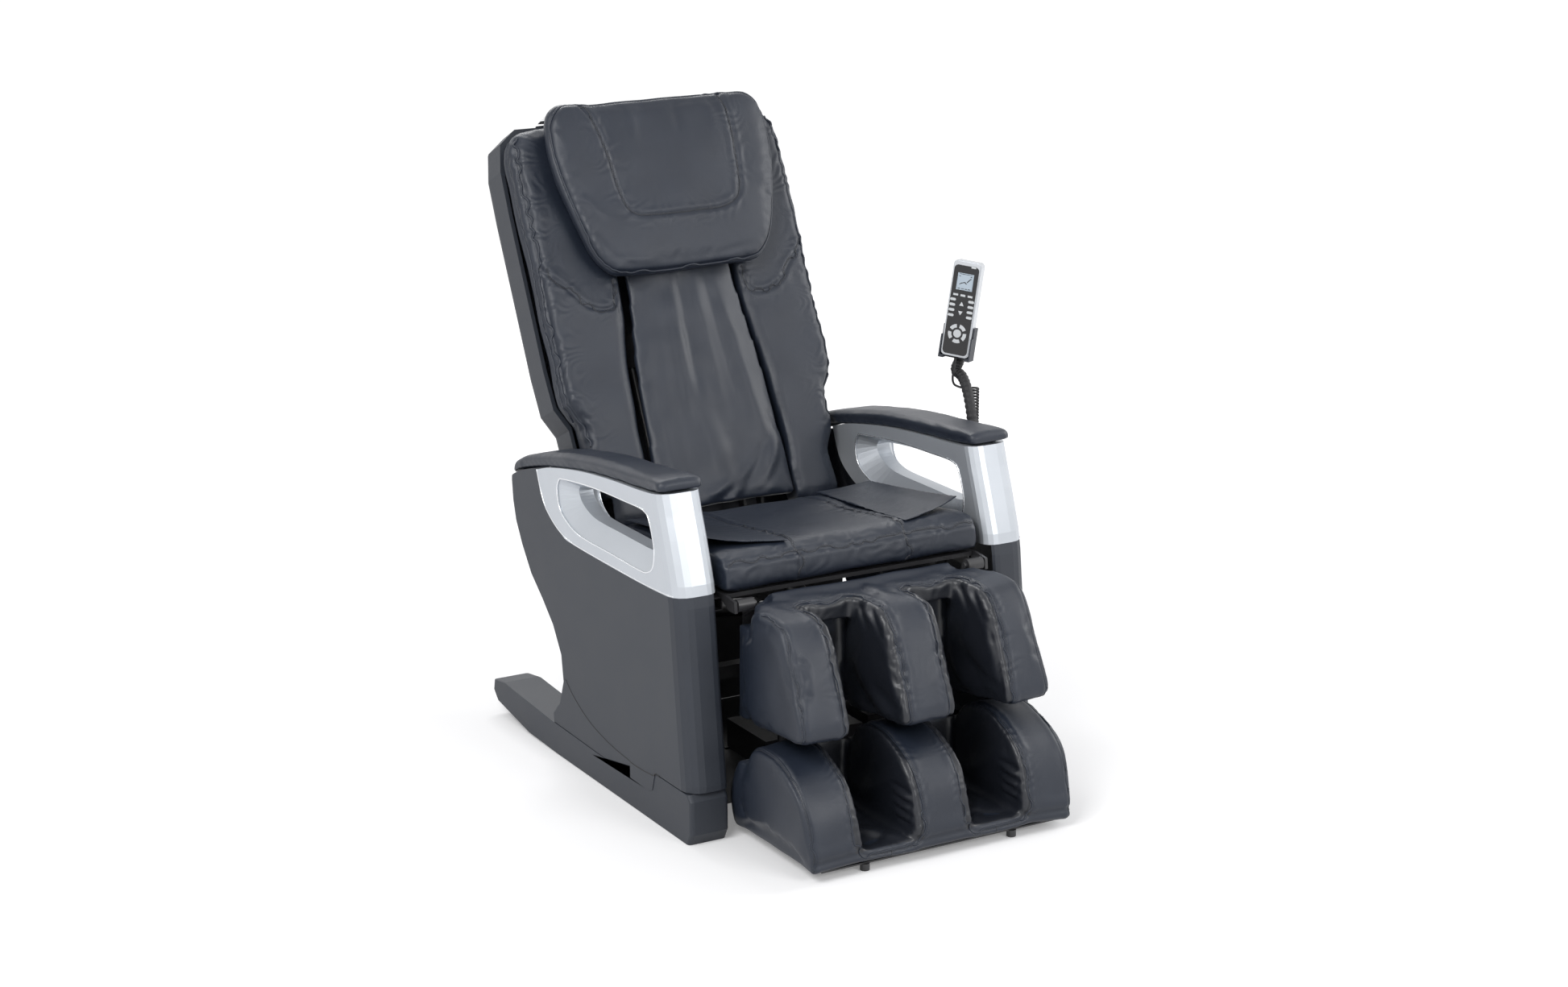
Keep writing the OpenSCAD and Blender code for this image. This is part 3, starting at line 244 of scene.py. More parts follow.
leather = finish("charcoal leather", (0.009, 0.013, 0.023), (0.017, 0.023, 0.037),
                 rough=(0.36, 0.48), cells=650, bump=0.30, depth=0.0005, specular=0.5)
lining = finish("soft lining leather", (0.007, 0.009, 0.013), (0.014, 0.016, 0.023),
                rough=(0.32, 0.44), cells=800, bump=0.18, depth=0.0003, specular=0.55)
thread = finish("grey thread", (0.030, 0.032, 0.038), (0.050, 0.053, 0.060),
                rough=(0.5, 0.6), cells=2500, bump=0.3, depth=0.0002)
shell_plastic = finish("grained shell plastic", (0.016, 0.020, 0.029), (0.024, 0.029, 0.040),
                       rough=(0.46, 0.56), cells=1100, bump=0.35, depth=0.0003)
satin_silver = finish("satin silver paint", (0.50, 0.53, 0.57), (0.56, 0.59, 0.63),
                      rough=(0.36, 0.42), cells=3000, bump=0.03, depth=0.0001, metal=0.6,
                      coat=0.15, coat_rough=0.35)
bright_lip = finish("bright lip", (0.74, 0.76, 0.79), (0.80, 0.82, 0.84), rough=(0.14, 0.18),
                    cells=3000, bump=0.02, depth=0.0001, metal=0.9)
frame_steel = finish("black coated steel", (0.020, 0.020, 0.022), (0.032, 0.032, 0.035),
                     rough=(0.38, 0.5), cells=1500, bump=0.25, depth=0.0002, coat=0.2)
bare_steel = finish("bright steel", (0.52, 0.53, 0.55), (0.60, 0.61, 0.62), rough=(0.22, 0.3),
                    cells=2500, bump=0.05, depth=0.0001, metal=1.0)
case_plastic = finish("black case plastic", (0.014, 0.014, 0.016), (0.022, 0.022, 0.025),
                      rough=(0.35, 0.45), cells=1400, bump=0.2, depth=0.0002)
rubber = finish("rubber", (0.012, 0.012, 0.013), (0.02, 0.02, 0.022), rough=(0.6, 0.7),
                cells=900, bump=0.2, depth=0.0003)
roller_plastic = finish("roller plastic", (0.30, 0.29, 0.27), (0.36, 0.35, 0.33),
                        rough=(0.4, 0.5), cells=1200, bump=0.15, depth=0.0002)
hand_silver = finish("handset silver", (0.55, 0.57, 0.60), (0.60, 0.62, 0.65),
                     rough=(0.28, 0.33), cells=3000, bump=0.03, depth=0.0001, metal=0.7,
                     coat=0.3)
gloss_black = finish("gloss black", (0.006, 0.006, 0.008), (0.010, 0.010, 0.012),
                     rough=(0.12, 0.16), cells=3000, bump=0.01, depth=0.0001, coat=0.3)
key_white = finish("pale keys", (0.56, 0.58, 0.60), (0.62, 0.64, 0.66), rough=(0.35, 0.4),
                   cells=3000, bump=0.03, depth=0.0001)
display = finish("display glass", (0.42, 0.50, 0.58), (0.46, 0.54, 0.62), rough=(0.1, 0.14),
                 cells=3000, bump=0.0, depth=0.0001, coat=0.5)
print("materials:", len(bpy.data.materials))

# %% [markdown]
# ## Floor and light
# The chair stands on a white floor with no edge in sight. For the camera and for reflections the
# floor and the world show as plain white; for everything else they are ordinary matt white, so
# the chair still gets its soft contact shadow and its bounce light.

# %% Floor and world
def seen_directly(tree):
    """1 for camera, mirror and glass rays, and 0 for the light that falls on other things."""
    path = node(tree, "LightPath")
    first = maths(tree, "MAXIMUM", path.outputs["Is Camera Ray"], path.outputs["Is Glossy Ray"])
    return maths(tree, "MAXIMUM", first, path.outputs["Is Transmission Ray"])


def white_floor():
    material = bpy.data.materials.new("white floor")
    material.use_nodes = True
    tree = material.node_tree
    tree.nodes.remove(tree.nodes["Principled BSDF"])
    matt = node(tree, "BsdfDiffuse", Color=(0.86, 0.86, 0.87, 1))
    glow = node(tree, "Emission", Color=(1, 1, 1, 1))
    both = node(tree, "AddShader")
    place = node(tree, "TexCoord")
    away = node(tree, "VectorMath")
    away.operation = "LENGTH"
    tree.links.new(place.outputs["Object"], away.inputs[0])
    far = node(tree, "MapRange")
    far.interpolation_type = "SMOOTHSTEP"
    for title, value in (("From Min", 1.0), ("From Max", 4.5), ("To Min", 0.20),
                         ("To Max", 0.66)):
        far.inputs[title].default_value = value
    tree.links.new(away.outputs["Value"], far.inputs["Value"])
    tree.links.new(maths(tree, "MULTIPLY", seen_directly(tree), far.outputs["Result"]),
                   glow.inputs["Strength"])
    tree.links.new(matt.outputs[0], both.inputs[0])
    tree.links.new(glow.outputs[0], both.inputs[1])
    tree.links.new(both.outputs[0], tree.nodes["Material Output"].inputs["Surface"])
    return material


floor_mesh = bpy.data.meshes.new("floor")
sheet = bmesh.new()
bmesh.ops.create_grid(sheet, x_segments=1, y_segments=1, size=14)
bmesh.ops.translate(sheet, verts=sheet.verts, vec=(0, 4, 0))
sheet.to_mesh(floor_mesh)
sheet.free()
floor_mesh.materials.append(white_floor())
floor = bpy.data.objects.new("floor", floor_mesh)
bpy.context.scene.collection.objects.link(floor)

world = bpy.data.worlds.new("studio")
world.use_nodes = True
bpy.context.scene.world = world
sky = world.node_tree.nodes["Background"]
level = node(world.node_tree, "MapRange")
level.inputs["To Min"].default_value = 0.42
level.inputs["To Max"].default_value = 1.0
world.node_tree.links.new(seen_directly(world.node_tree), level.inputs["Value"])
world.node_tree.links.new(level.outputs["Result"], sky.inputs["Strength"])
sky.inputs["Color"].default_value = (1, 1, 1, 1)
print("floor spans", [round(d, 1) for d in floor.dimensions])


# %% [markdown]
# Dark satin leather shows its form almost only by its highlights, so the lamps are large soft
# panels: one high on the camera's left, a weaker one on the right, and a narrow one behind that
# draws a line along the shoulders.

# %% Lamps
def soft_panel(name, place, aim, width, height, watts):
    """A rectangular lamp that looks at a point."""
    lamp = bpy.data.lights.new(name, "AREA")
    lamp.shape = "RECTANGLE"
    lamp.size, lamp.size_y = width, height
    lamp.energy = watts
    stand = bpy.data.objects.new(name, lamp)
    bpy.context.scene.collection.objects.link(stand)
    look = (Vector(aim) - Vector(place)).to_track_quat("-Z", "Y")
    stand.matrix_world = Matrix.Translation(place) @ look.to_matrix().to_4x4()
    return stand


lamps = [
    soft_panel("key panel", (-2.6, -1.6, 3.0), (0, 0, 0.6), 2.0, 1.6, 82),
    soft_panel("front panel", (0.9, -3.6, 2.2), (0, -0.2, 0.5), 1.6, 1.2, 40),
    soft_panel("side panel", (3.0, -0.6, 1.9), (0.2, 0, 0.6), 1.2, 1.8, 34),
    soft_panel("shoulder panel", (0.4, 2.6, 3.0), (0, 0.2, 0.9), 2.4, 0.8, 50),
]
bpy.context.scene.view_settings.view_transform = "Standard"
print("lamps:", [l.name for l in lamps])

# %% [markdown]
# ## Finishes of the working parts
# The hidden frame is black coated steel, its shafts and screws are bright, and the motors sit in
# black cases. The model's own nodes keep their shapes and only take a material.

# %% Materials for the model's nodes
def paint(material, *names):
    """These nodes of the model take one material."""
    for name in names:
        mesh = frame["nodes"][name].data
        mesh.materials.clear()
        mesh.materials.append(material)


def pairs(*names):
    return [name + side for name in names for side in ("_left", "_right")]


paint(frame_steel, "base_frame", "seat_frame", "back_frame", "leg_frame", "foot_frame",
      "massage_carriage", *pairs("massage_arm"))
paint(bare_steel, "lift_screw", "knead_shaft", "back_rod", "leg_rod")
paint(case_plastic, "control_box", "air_pump", "vibration_motor", "lift_motor", "knead_motor",
      "back_actuator", "leg_actuator", "power_inlet", "power_switch")
paint(roller_plastic, *pairs("roller_upper", "roller_lower"))
paint(rubber, *pairs("wheel"), "handset_stalk", "handset_lead", "handset_coil")
paint(shell_plastic, *pairs("side_shell", "runner"), "back_shell", "handset_holder")
paint(satin_silver, *pairs("arm_trim"))
paint(hand_silver, "handset_body")
paint(display, "handset_screen")
paint(key_white, "menu_keys", "option_keys", "ring_keys")
print("painted nodes:", sum(1 for n in frame["nodes"].values() if n.data.materials))

# %% [markdown]
# ## Stuffed leather
# Each cushion starts as a copy of the plain solid that the model holds for it. A voxel remesh
# gives it even square faces, and Blender's cloth with air pressure swells it like a cover over
# foam. The distance that a point may move is capped, so a pad stays clear of its neighbours.

# %% Cutting and stuffing a cushion
def copied(name, source):
    """A closed copy of one of the model's solids, as a new object at the origin."""
    mesh = frame["nodes"][source].data.copy()
    made = bpy.data.objects.new(name.replace(" ", "_"), mesh)
    bpy.context.scene.collection.objects.link(made)
    form = bmesh.new()
    form.from_mesh(mesh)
    bmesh.ops.remove_doubles(form, verts=form.verts, dist=1e-5)
    bmesh.ops.recalc_face_normals(form, faces=form.faces)
    form.to_mesh(mesh)
    form.free()
    return made


def baked(made):
    """The object's modifiers are worked into its mesh."""
    sheet = bpy.context.evaluated_depsgraph_get()
    mesh = bpy.data.meshes.new_from_object(made.evaluated_get(sheet))
    made.modifiers.clear()
    made.data = mesh
    return made


def points_of(mesh):
    places = np.empty(len(mesh.vertices) * 3)
    mesh.vertices.foreach_get("co", places)
    return places.reshape(-1, 3)


def normals_of(mesh):
    aims = np.empty(len(mesh.vertices) * 3, dtype=np.float32)
    mesh.vertex_normals.foreach_get("vector", aims)
    return aims.reshape(-1, 3).astype(float)


def put_points(mesh, places):
    mesh.vertices.foreach_set("co", places.ravel())
    mesh.update()


def remeshed(made, voxel, rounding=6):
    """Even faces of one voxel's size, with the solid's hard edges relaxed."""
    remesh = made.modifiers.new("even faces", "REMESH")
    remesh.mode = "VOXEL"
    remesh.voxel_size = voxel
    relax = made.modifiers.new("relax", "SMOOTH")
    relax.factor = 0.5
    relax.iterations = rounding
    return baked(made)


def swollen(made, cap, pressure=4.0):
    """The cover swells under air pressure for twenty frames, by no more than cap."""
    start = points_of(made.data)
    cloth = made.modifiers.new("cover", "CLOTH")
    cloth.settings.use_pressure = True
    cloth.settings.uniform_pressure_force = pressure
    cloth.settings.quality = 4
    cloth.settings.effector_weights.gravity = 0
    cloth.settings.tension_stiffness = 20
    cloth.settings.bending_stiffness = 1.5
    cloth.collision_settings.use_self_collision = False
    scene = bpy.context.scene
    for step in range(1, 21):
        scene.frame_set(step)
    baked(made)
    scene.frame_set(1)
    shift = points_of(made.data) - start
    length = np.maximum(np.linalg.norm(shift, axis=1, keepdims=True), 1e-9)
    put_points(made.data, start + shift * np.minimum(1, cap / length))
    return made


def stuffed(name, source, voxel=0.006, cap=0.005, inset=0.002, rounding=6):
    """A stuffed copy of a solid, drawn in a little first because it swells."""
    made = remeshed(copied(name, source), voxel, rounding)
    mesh = made.data
    put_points(mesh, points_of(mesh) - normals_of(mesh) * inset)
    return swollen(made, cap)


# %% [markdown]
# Sewing shows in three ways. A seam pulls the cover in along a line, gathered leather puckers
# beside it, and loose leather lies in folds. All three are small moves of the cover's points
# along their normals, measured from a line that is drawn on the cover.

# %% Lines on a cover
def surface(made):
    """A tree for finding the nearest place on a cover."""
    form = bmesh.new()
    form.from_mesh(made.data)
    tree = BVHTree.FromBMesh(form)
    form.free()
    return tree


def rounded(line, step, closed=False):
    """A smooth run of points through a few given ones, about one step apart."""
    count = len(line)
    spans = count if closed else count - 1
    run = []
    for i in range(spans):
        a, b = line[i - 1] if closed or i else line[0], line[i]
        c, d = line[(i + 1) % count], line[(i + 2) % count if closed else min(i + 2, count - 1)]
        parts = max(1, int((c - b).length / step))
        for k in range(parts):
            t = k / parts
            run.append(0.5 * ((2 * b) + (c - a) * t + (2 * a - 5 * b + 4 * c - d) * t ** 2
                              + (3 * b - a - 3 * c + d) * t ** 3))
    return run if closed else run + [line[-1]]


def drawn(tree, line, step=0.002, closed=False):
    """The points of a line laid on a cover, each with the cover's normal there."""
    run = [tree.find_nearest(point)[0] for point in rounded(line, step, closed)]
    last = len(run) - 1
    for _ in range(8):
        run = [run[i] if not closed and i in (0, last) else
               (run[i - 1] + run[i] + run[(i + 1) % len(run)]) / 3 for i in range(len(run))]
    return [tree.find_nearest(point)[:2] for point in run]


def nearest_on(line, places):
    """For each place its distance to a laid line, and how far along the line that is."""
    tree = KDTree(len(line))
    for i, (point, _) in enumerate(line):
        tree.insert(point, i)
    tree.balance()
    along = np.cumsum([0] + [(line[i + 1][0] - line[i][0]).length for i in range(len(line) - 1)])
    found = [tree.find(place) for place in places]
    return (np.array([f[2] for f in found]), along[[f[1] for f in found]],
            np.array([f[1] for f in found]))


# %% Seams, puckers and folds
def pressed(made, line, width, depth):
    """The cover is drawn in along a line, and swells a little on both sides of it."""
    places = points_of(made.data)
    away, _, _ = nearest_on(line, places)
    drop = -depth * np.exp(-(away / width) ** 2) + 0.35 * depth * np.exp(
        -((away - 2.4 * width) / (1.4 * width)) ** 2)
    put_points(made.data, places + normals_of(made.data) * drop[:, None])


def puckered(made, line, reach, pitch, depth, side=0, seed=0):
    """Gathers that run away from a line, on both sides or on one."""
    places = points_of(made.data)
    away, along, index = nearest_on(line, places)
    wander = np.array([noise.noise(Vector(p) * 22 + Vector((seed, 0, 0))) for p in places])
    lift = np.sin(2 * math.pi * along / pitch + 5.0 * wander + 9 * away / reach * wander)
    fade = np.exp(-(away / reach) ** 1.5) * np.minimum(1, away / 0.006)
    if side:
        tips = np.array([p for p, _ in line])
        aims = np.roll(tips, -1, axis=0) - tips
        aims[-1] = aims[-2]
        across = np.cross(aims, np.array([n for _, n in line]))
        which = np.einsum("ij,ij->i", places - tips[index], across[index])
        fade = fade * (which * side > 0)
    move = depth * (lift * 0.7 + 0.5 * wander) * fade
    put_points(made.data, places + normals_of(made.data) * move[:, None])


def folded(made, folds):
    """Long soft folds: each has two ends, a width and a height, a valley where negative."""
    places = points_of(made.data)
    total = np.zeros(len(places))
    for start, end, width, height in folds:
        run = np.array(end - start)
        length = np.linalg.norm(run)
        share = np.clip((places - np.array(start)) @ run / length ** 2, 0, 1)
        away = np.linalg.norm(places - np.array(start) - share[:, None] * run, axis=1)
        ends = np.sin(math.pi * np.clip(share, 0.02, 0.98)) ** 0.6
        total += height * np.exp(-(away / width) ** 2) * ends
    put_points(made.data, places + normals_of(made.data) * total[:, None])


def rumpled(made, size, depth, seed=0):
    """The slow unevenness of leather over foam."""
    places = points_of(made.data)
    wander = np.array([noise.noise(Vector(p) / size + Vector((seed, seed, 0))) for p in places])
    put_points(made.data, places + normals_of(made.data) * (wander * depth)[:, None])


print("sewing tools ready; quick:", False)

# %% [markdown]
# The thread and the piping are real geometry, so they still show on the exported meshes. A
# stitch is a small six-sided bead laid along the line, and a piping is a thin tube half sunk
# in the cover. Stitches repeat thousands of times, so each has only a few faces.

# %% Stitches and piping
def tube(name, line, radius, lift=0.0, closed=False):
    """A thin tube along a laid line, lifted off the cover by lift: a bevelled curve's mesh."""
    curve = bpy.data.curves.new(name, "CURVE")
    curve.dimensions = "3D"
    curve.bevel_depth = radius
    curve.bevel_resolution = 2
    curve.use_fill_caps = True
    run = curve.splines.new("POLY")
    run.points.add(len(line) - 1)
    run.use_cyclic_u = closed
    for dot, (place, normal) in zip(run.points, line):
        dot.co = (*(place + normal * lift), 1)
    drawn_curve = bpy.data.objects.new(name, curve)
    bpy.context.scene.collection.objects.link(drawn_curve)
    sheet = bpy.context.evaluated_depsgraph_get()
    mesh = bpy.data.meshes.new_from_object(drawn_curve.evaluated_get(sheet))
    bpy.data.objects.remove(drawn_curve)
    bpy.data.curves.remove(curve)
    made = bpy.data.objects.new(name.replace(" ", "_"), mesh)
    bpy.context.scene.collection.objects.link(made)
    mesh.shade_smooth()
    return made


def kept(name, form, smooth=True):
    """A bmesh becomes an object at the origin."""
    mesh = bpy.data.meshes.new(name)
    form.to_mesh(mesh)
    form.free()
    made = bpy.data.objects.new(name.replace(" ", "_"), mesh)
    bpy.context.scene.collection.objects.link(made)
    if smooth:
        mesh.shade_smooth()
    return made


STITCH_PITCH = 5.2 * MM
STITCH_LONG = 3.6 * MM
STITCH_THICK = 0.45 * MM


def stitched(name, tree, lines, offset=0.0, pitch=STITCH_PITCH):
    """Beads of thread along laid lines, moved sideways on the cover by offset."""
    form = bmesh.new()
    for line in lines:
        along = 0.0
        following = pitch / 2
        for i in range(len(line) - 1):
            span = (line[i + 1][0] - line[i][0]).length
            while span > 0 and following <= along + span:
                t = (following - along) / span
                aim = (line[i + 1][0] - line[i][0]).normalized()
                normal = line[i][1]
                side = normal.cross(aim).normalized()
                place = line[i][0].lerp(line[i + 1][0], t) + side * offset
                place, normal, _, _ = tree.find_nearest(place)
                side = normal.cross(aim).normalized()
                top = aim.cross(side)
                middle = place + normal * STITCH_THICK * 0.2
                turn = Matrix((aim, side, top)).transposed().to_4x4()
                bmesh.ops.create_cone(
                    form, cap_ends=True, segments=6, radius1=STITCH_THICK, radius2=STITCH_THICK,
                    depth=STITCH_LONG, matrix=Matrix.Translation(middle) @ turn
                    @ Matrix.Rotation(math.pi / 2, 4, "Y"))
                following += pitch
            along += span
    return kept(name, form)


def refined(made):
    """One subdivision, before narrow seams are pressed into a cover."""
    level = made.modifiers.new("fine faces", "SUBSURF")
    level.levels = level.render_levels = 1
    return baked(made)


def dressed(made, material, body_node, replaced=(), fine=1):
    """The piece takes its material, rides on its node's body and stands for its nodes."""
    made.data.materials.clear()
    made.data.materials.append(material)
    if fine:
        refined(made)
        made.data.materials.clear()
        made.data.materials.append(material)
    made.data.shade_smooth()
    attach(made, body_of(frame["nodes"][body_node])[0])
    if replaced:
        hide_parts(*replaced)
    return made


def painted_seam_shadow(title, line, node, radius=0.9):
    """The dark shadow line of a seam, as a thin cord sunk in it."""
    # Painted shade: a cord of dark lining leather stands in for the shadow along the seam.
    shadow = tube(title + " seam", line, radius * MM)
    return dressed(shadow, lining, node, fine=0)


print("a stitch is", round(STITCH_LONG * 1000, 1), "mm long")

# %% [markdown]
# ## Back bolsters
# Each side of the back is one long bolster. Its inner edge borders the loose centre panel, a
# curved shoulder seam splits off the upper part, and a piping runs down the outer front edge
# and another along its side, where the cover closes with a zip.

# %% Back bolsters
SHOULDER_SEAM = [(305, 570), (253, 526), (220, 489), (182, 475), (150, 484), (138, 526)]
FRONT_PIPING = [(300, 850), (303, 745), (304, 660), (310, 578), (322, 480), (327, 420),
                (326, 355), (315, 281), (290, 215)]
SIDE_PIPING = [(316, 850), (322, 722), (332, 590), (340, 443), (338, 329), (324, 254)]


def mirrored_for(side, places, inward):
    return [on_back(side * x, inward, u) for x, u in places]


for side, hand in SIDES:
    source = "bolster_" + hand
    bolster = refined(stuffed("back bolster " + hand, source, voxel=0.0065, cap=0.006))
    cover = surface(bolster)
    shoulder = drawn(cover, mirrored_for(side, SHOULDER_SEAM, -60))
    front_edge = drawn(cover, mirrored_for(side, FRONT_PIPING, -50))
    side_edge = drawn(cover, mirrored_for(side, SIDE_PIPING, -8))
    rumpled(bolster, 0.09, 0.0035, seed=3 + side)
    pressed(bolster, shoulder, 0.004, 0.003)
    pressed(bolster, front_edge, 0.007, 0.004)
    pressed(bolster, side_edge, 0.006, 0.003)
    puckered(bolster, front_edge, 0.030, 0.034, 0.0016, seed=side)
    puckered(bolster, shoulder, 0.020, 0.028, 0.0010, seed=side + 5)
    dressed(bolster, leather, source, [source], fine=0)
    cover = surface(bolster)
    for title, line, inward in (("front", FRONT_PIPING, -50), ("side", SIDE_PIPING, -8)):
        laid = drawn(cover, mirrored_for(side, line, inward))
        piping = tube(f"bolster {title} piping {hand}", laid, 2.4 * MM, lift=0.4 * MM)
        dressed(piping, leather, source, fine=0)
    laid = drawn(cover, mirrored_for(side, SHOULDER_SEAM, -60))
    painted_seam_shadow("shoulder " + hand, laid, source)
    sewn = stitched("shoulder stitching " + hand, cover, [laid], offset=3 * MM)
    dressed(sewn, thread, source, fine=0)
    print(bolster.name, len(bolster.data.polygons), "faces")

# %% [markdown]
# ## Loose centre panel
# The panel between the bolsters is a loose cover over the rollers. It hangs from under the head
# pillow in long soft folds and bunches up where it meets the seat.

# %% Centre panel
def fold_on_back(start, end, width, height, inward=-62):
    return (on_back(start[0], inward, start[1]), on_back(end[0], inward, end[1]),
            width * MM, height * MM)


# The rollers pass close behind the panel, so nothing of it bulges behind this depth.
PANEL_REAR = -28 * MM
panel = stuffed("centre panel", "back_panel", voxel=0.006, cap=0.004, inset=0.001, rounding=10)
places = points_of(panel.data)
up = (places - np.array(HINGE)) @ np.array(UPWARD)
slack = np.clip((0.16 - up) / 0.16, 0, 1)[:, None] ** 1.5
places = places - slack * np.array(UPWARD) * 0.045
places[:, 0] *= 1.06
put_points(panel.data, places)
folded(panel, [
    fold_on_back((-30, 560), (-52, 230), 13, 5),
    fold_on_back((-8, 560), (-22, 260), 11, -5),
    fold_on_back((14, 560), (30, 200), 14, 6),
    fold_on_back((44, 560), (74, 180), 12, -5),
    fold_on_back((70, 540), (108, 160), 15, 4),
    fold_on_back((-70, 540), (-100, 120), 16, 3),
    fold_on_back((-92, 420), (-116, 90), 12, -4),
    fold_on_back((140, 190), (66, 40), 13, 9),
    fold_on_back((128, 130), (40, 26), 10, -9),
    fold_on_back((104, 170), (14, 50), 11, -6),
    fold_on_back((88, 150), (-20, 44), 12, 7),
    fold_on_back((60, 110), (-60, 36), 10, -6),
    fold_on_back((-130, 150), (-70, 40), 12, 6),
    fold_on_back((-140, 100), (-96, 36), 9, -5),
    fold_on_back((10, 100), (-90, 52), 11, 5),
])
rumpled(panel, 0.05, 0.0022, seed=11)
places = points_of(panel.data)
depth = (places - np.array(HINGE)) @ np.array(INWARD)
hollow = np.clip(depth - PANEL_REAR, 0, None)[:, None]
put_points(panel.data, places - hollow * np.array(INWARD))
dressed(panel, leather, "back_panel", ["back_panel"])
print(panel.name, len(panel.data.polygons), "faces")

# %% [markdown]
# ## Head pillow
# The pillow is wide at the top and narrow at the neck. Its front is one piece with a U-shaped
# inset seam; a piping runs round its front edge. The leather is stretched over thick foam, so
# it only creases a little at the lower corners.

# %% Head pillow
PILLOW_EDGE = [(-240, 840), (-199, 884), (-151, 893), (-3, 894), (153, 889), (222, 872),
               (252, 840), (259, 784), (254, 714), (222, 620), (190, 566), (149, 535), (66, 526),
               (-69, 521), (-146, 528), (-182, 546), (-206, 585), (-229, 700), (-244, 788)]
INSET_SEAM = [(-161, 886), (-145, 830), (-134, 765), (-128, 706), (-117, 661), (-96, 642),
              (-49, 638), (20, 638), (91, 641), (130, 657), (145, 686), (152, 755), (152, 820),
              (147, 888)]
pillow = refined(stuffed("head pillow", "head_pillow", voxel=0.0065, cap=0.007, inset=0.003))
cover = surface(pillow)
edge = drawn(cover, [on_back(x, -96, u) for x, u in PILLOW_EDGE], closed=True)
inset_line = drawn(cover, [on_back(x, -112, u) for x, u in INSET_SEAM])
pressed(pillow, inset_line, 0.004, 0.003)
pressed(pillow, edge, 0.005, 0.0025)
puckered(pillow, inset_line, 0.022, 0.030, 0.0010, seed=2)
folded(pillow, [
    fold_on_back((-130, 880), (-122, 800), 9, -2.0, -110),
    fold_on_back((-60, 885), (-66, 790), 10, 1.6, -110),
    fold_on_back((40, 885), (34, 800), 10, -1.6, -110),
    fold_on_back((110, 885), (118, 800), 10, 1.6, -110),
    fold_on_back((-200, 640), (-150, 560), 9, -2.5, -110),
    fold_on_back((-170, 560), (-60, 545), 8, 2.0, -110),
    fold_on_back((60, 548), (150, 560), 8, -2.0, -110),
    fold_on_back((-215, 700), (-160, 640), 9, 2.0, -110),
])
rumpled(pillow, 0.10, 0.0030, seed=21)
dressed(pillow, leather, "head_pillow", ["head_pillow"], fine=0)
cover = surface(pillow)
edge = drawn(cover, [on_back(x, -96, u) for x, u in PILLOW_EDGE], closed=True)
piping = tube("pillow piping", edge, 2.2 * MM, lift=0.5 * MM, closed=True)
dressed(piping, leather, "head_pillow", fine=0)
inset_line = drawn(cover, [on_back(x, -112, u) for x, u in INSET_SEAM])
painted_seam_shadow("pillow", inset_line, "head_pillow")
sewn = stitched("pillow stitching", cover, [inset_line], offset=3 * MM)
dressed(sewn, thread, "head_pillow", fine=0)
print(pillow.name, len(pillow.data.polygons), "faces")

# %% [markdown]
# The pillow hangs from a leather flap that lies over the top of the back. A flap is thin, so it
# isn't stuffed: it only gets even faces and a little unevenness.

# %% Pillow flap
flap = remeshed(copied("pillow flap", "pillow_flap"), 0.0045, 4)
rumpled(flap, 0.05, 0.0016, seed=31)
dressed(flap, leather, "pillow_flap", ["pillow_flap"])
print(flap.name, len(flap.data.polygons), "faces")

# %% [markdown]
# ## Seat
# The seat cushion is a raked block with a firm front edge. Two seams run over it from back to
# front and split off a centre panel, and one runs along the front edge. On each side a piped
# flap lies on the cushion and covers the gap to the arm.

# %% Seat cushion
SEAM_X = 118
seat = refined(stuffed("seat cushion", "seat_cushion", voxel=0.0075, cap=0.0045,
                       inset=0.0035))
OVER_FRONT = [(96, 500), (20, 510), (-80, 520), (-180, 528), (-250, 530), (-292, 522),
              (-314, 500), (-318, 475), (-314, 455)]


def seat_lines(cover):
    """The two seams over the seat, then the one along its front edge."""
    over = [[at(side * SEAM_X, y, z) for y, z in OVER_FRONT] for side in (-1, 1)]
    front = [at(x, -303, 514) for x in (-272, -200, -100, 0, 100, 200, 272)]
    return [drawn(cover, line) for line in (*over, front)]


*seat_seams, front_seam = seat_lines(surface(seat))
rumpled(seat, 0.11, 0.0035, seed=41)
for line in seat_seams:
    pressed(seat, line, 0.004, 0.0025)
    puckered(seat, line, 0.03, 0.045, 0.0010, seed=4)
pressed(seat, front_seam, 0.004, 0.0025)
puckered(seat, front_seam, 0.035, 0.05, 0.0012, seed=6)
dressed(seat, leather, "seat_cushion", ["seat_cushion"], fine=0)
cover = surface(seat)
lines = seat_lines(cover)
for number, line in enumerate(lines):
    painted_seam_shadow(f"seat {number}", line, "seat_cushion")
sewn = stitched("seat stitching", cover, lines, offset=3 * MM)
dressed(sewn, thread, "seat_cushion", fine=0)
print(seat.name, len(seat.data.polygons), "faces")

# %% Seat flaps
flaps = remeshed(copied("seat flaps", "seat_flaps"), 0.0026, 10)
rumpled(flaps, 0.06, 0.0014, seed=51)
dressed(flaps, leather, "seat_flaps", ["seat_flaps"], fine=0)
print(flaps.name, len(flaps.data.polygons), "faces")

# %% [markdown]
# ## Arm pads
# Each arm has a thin foam pad whose leather is pulled down over its edge. A seam runs along both
# sides, a little above the lower edge.

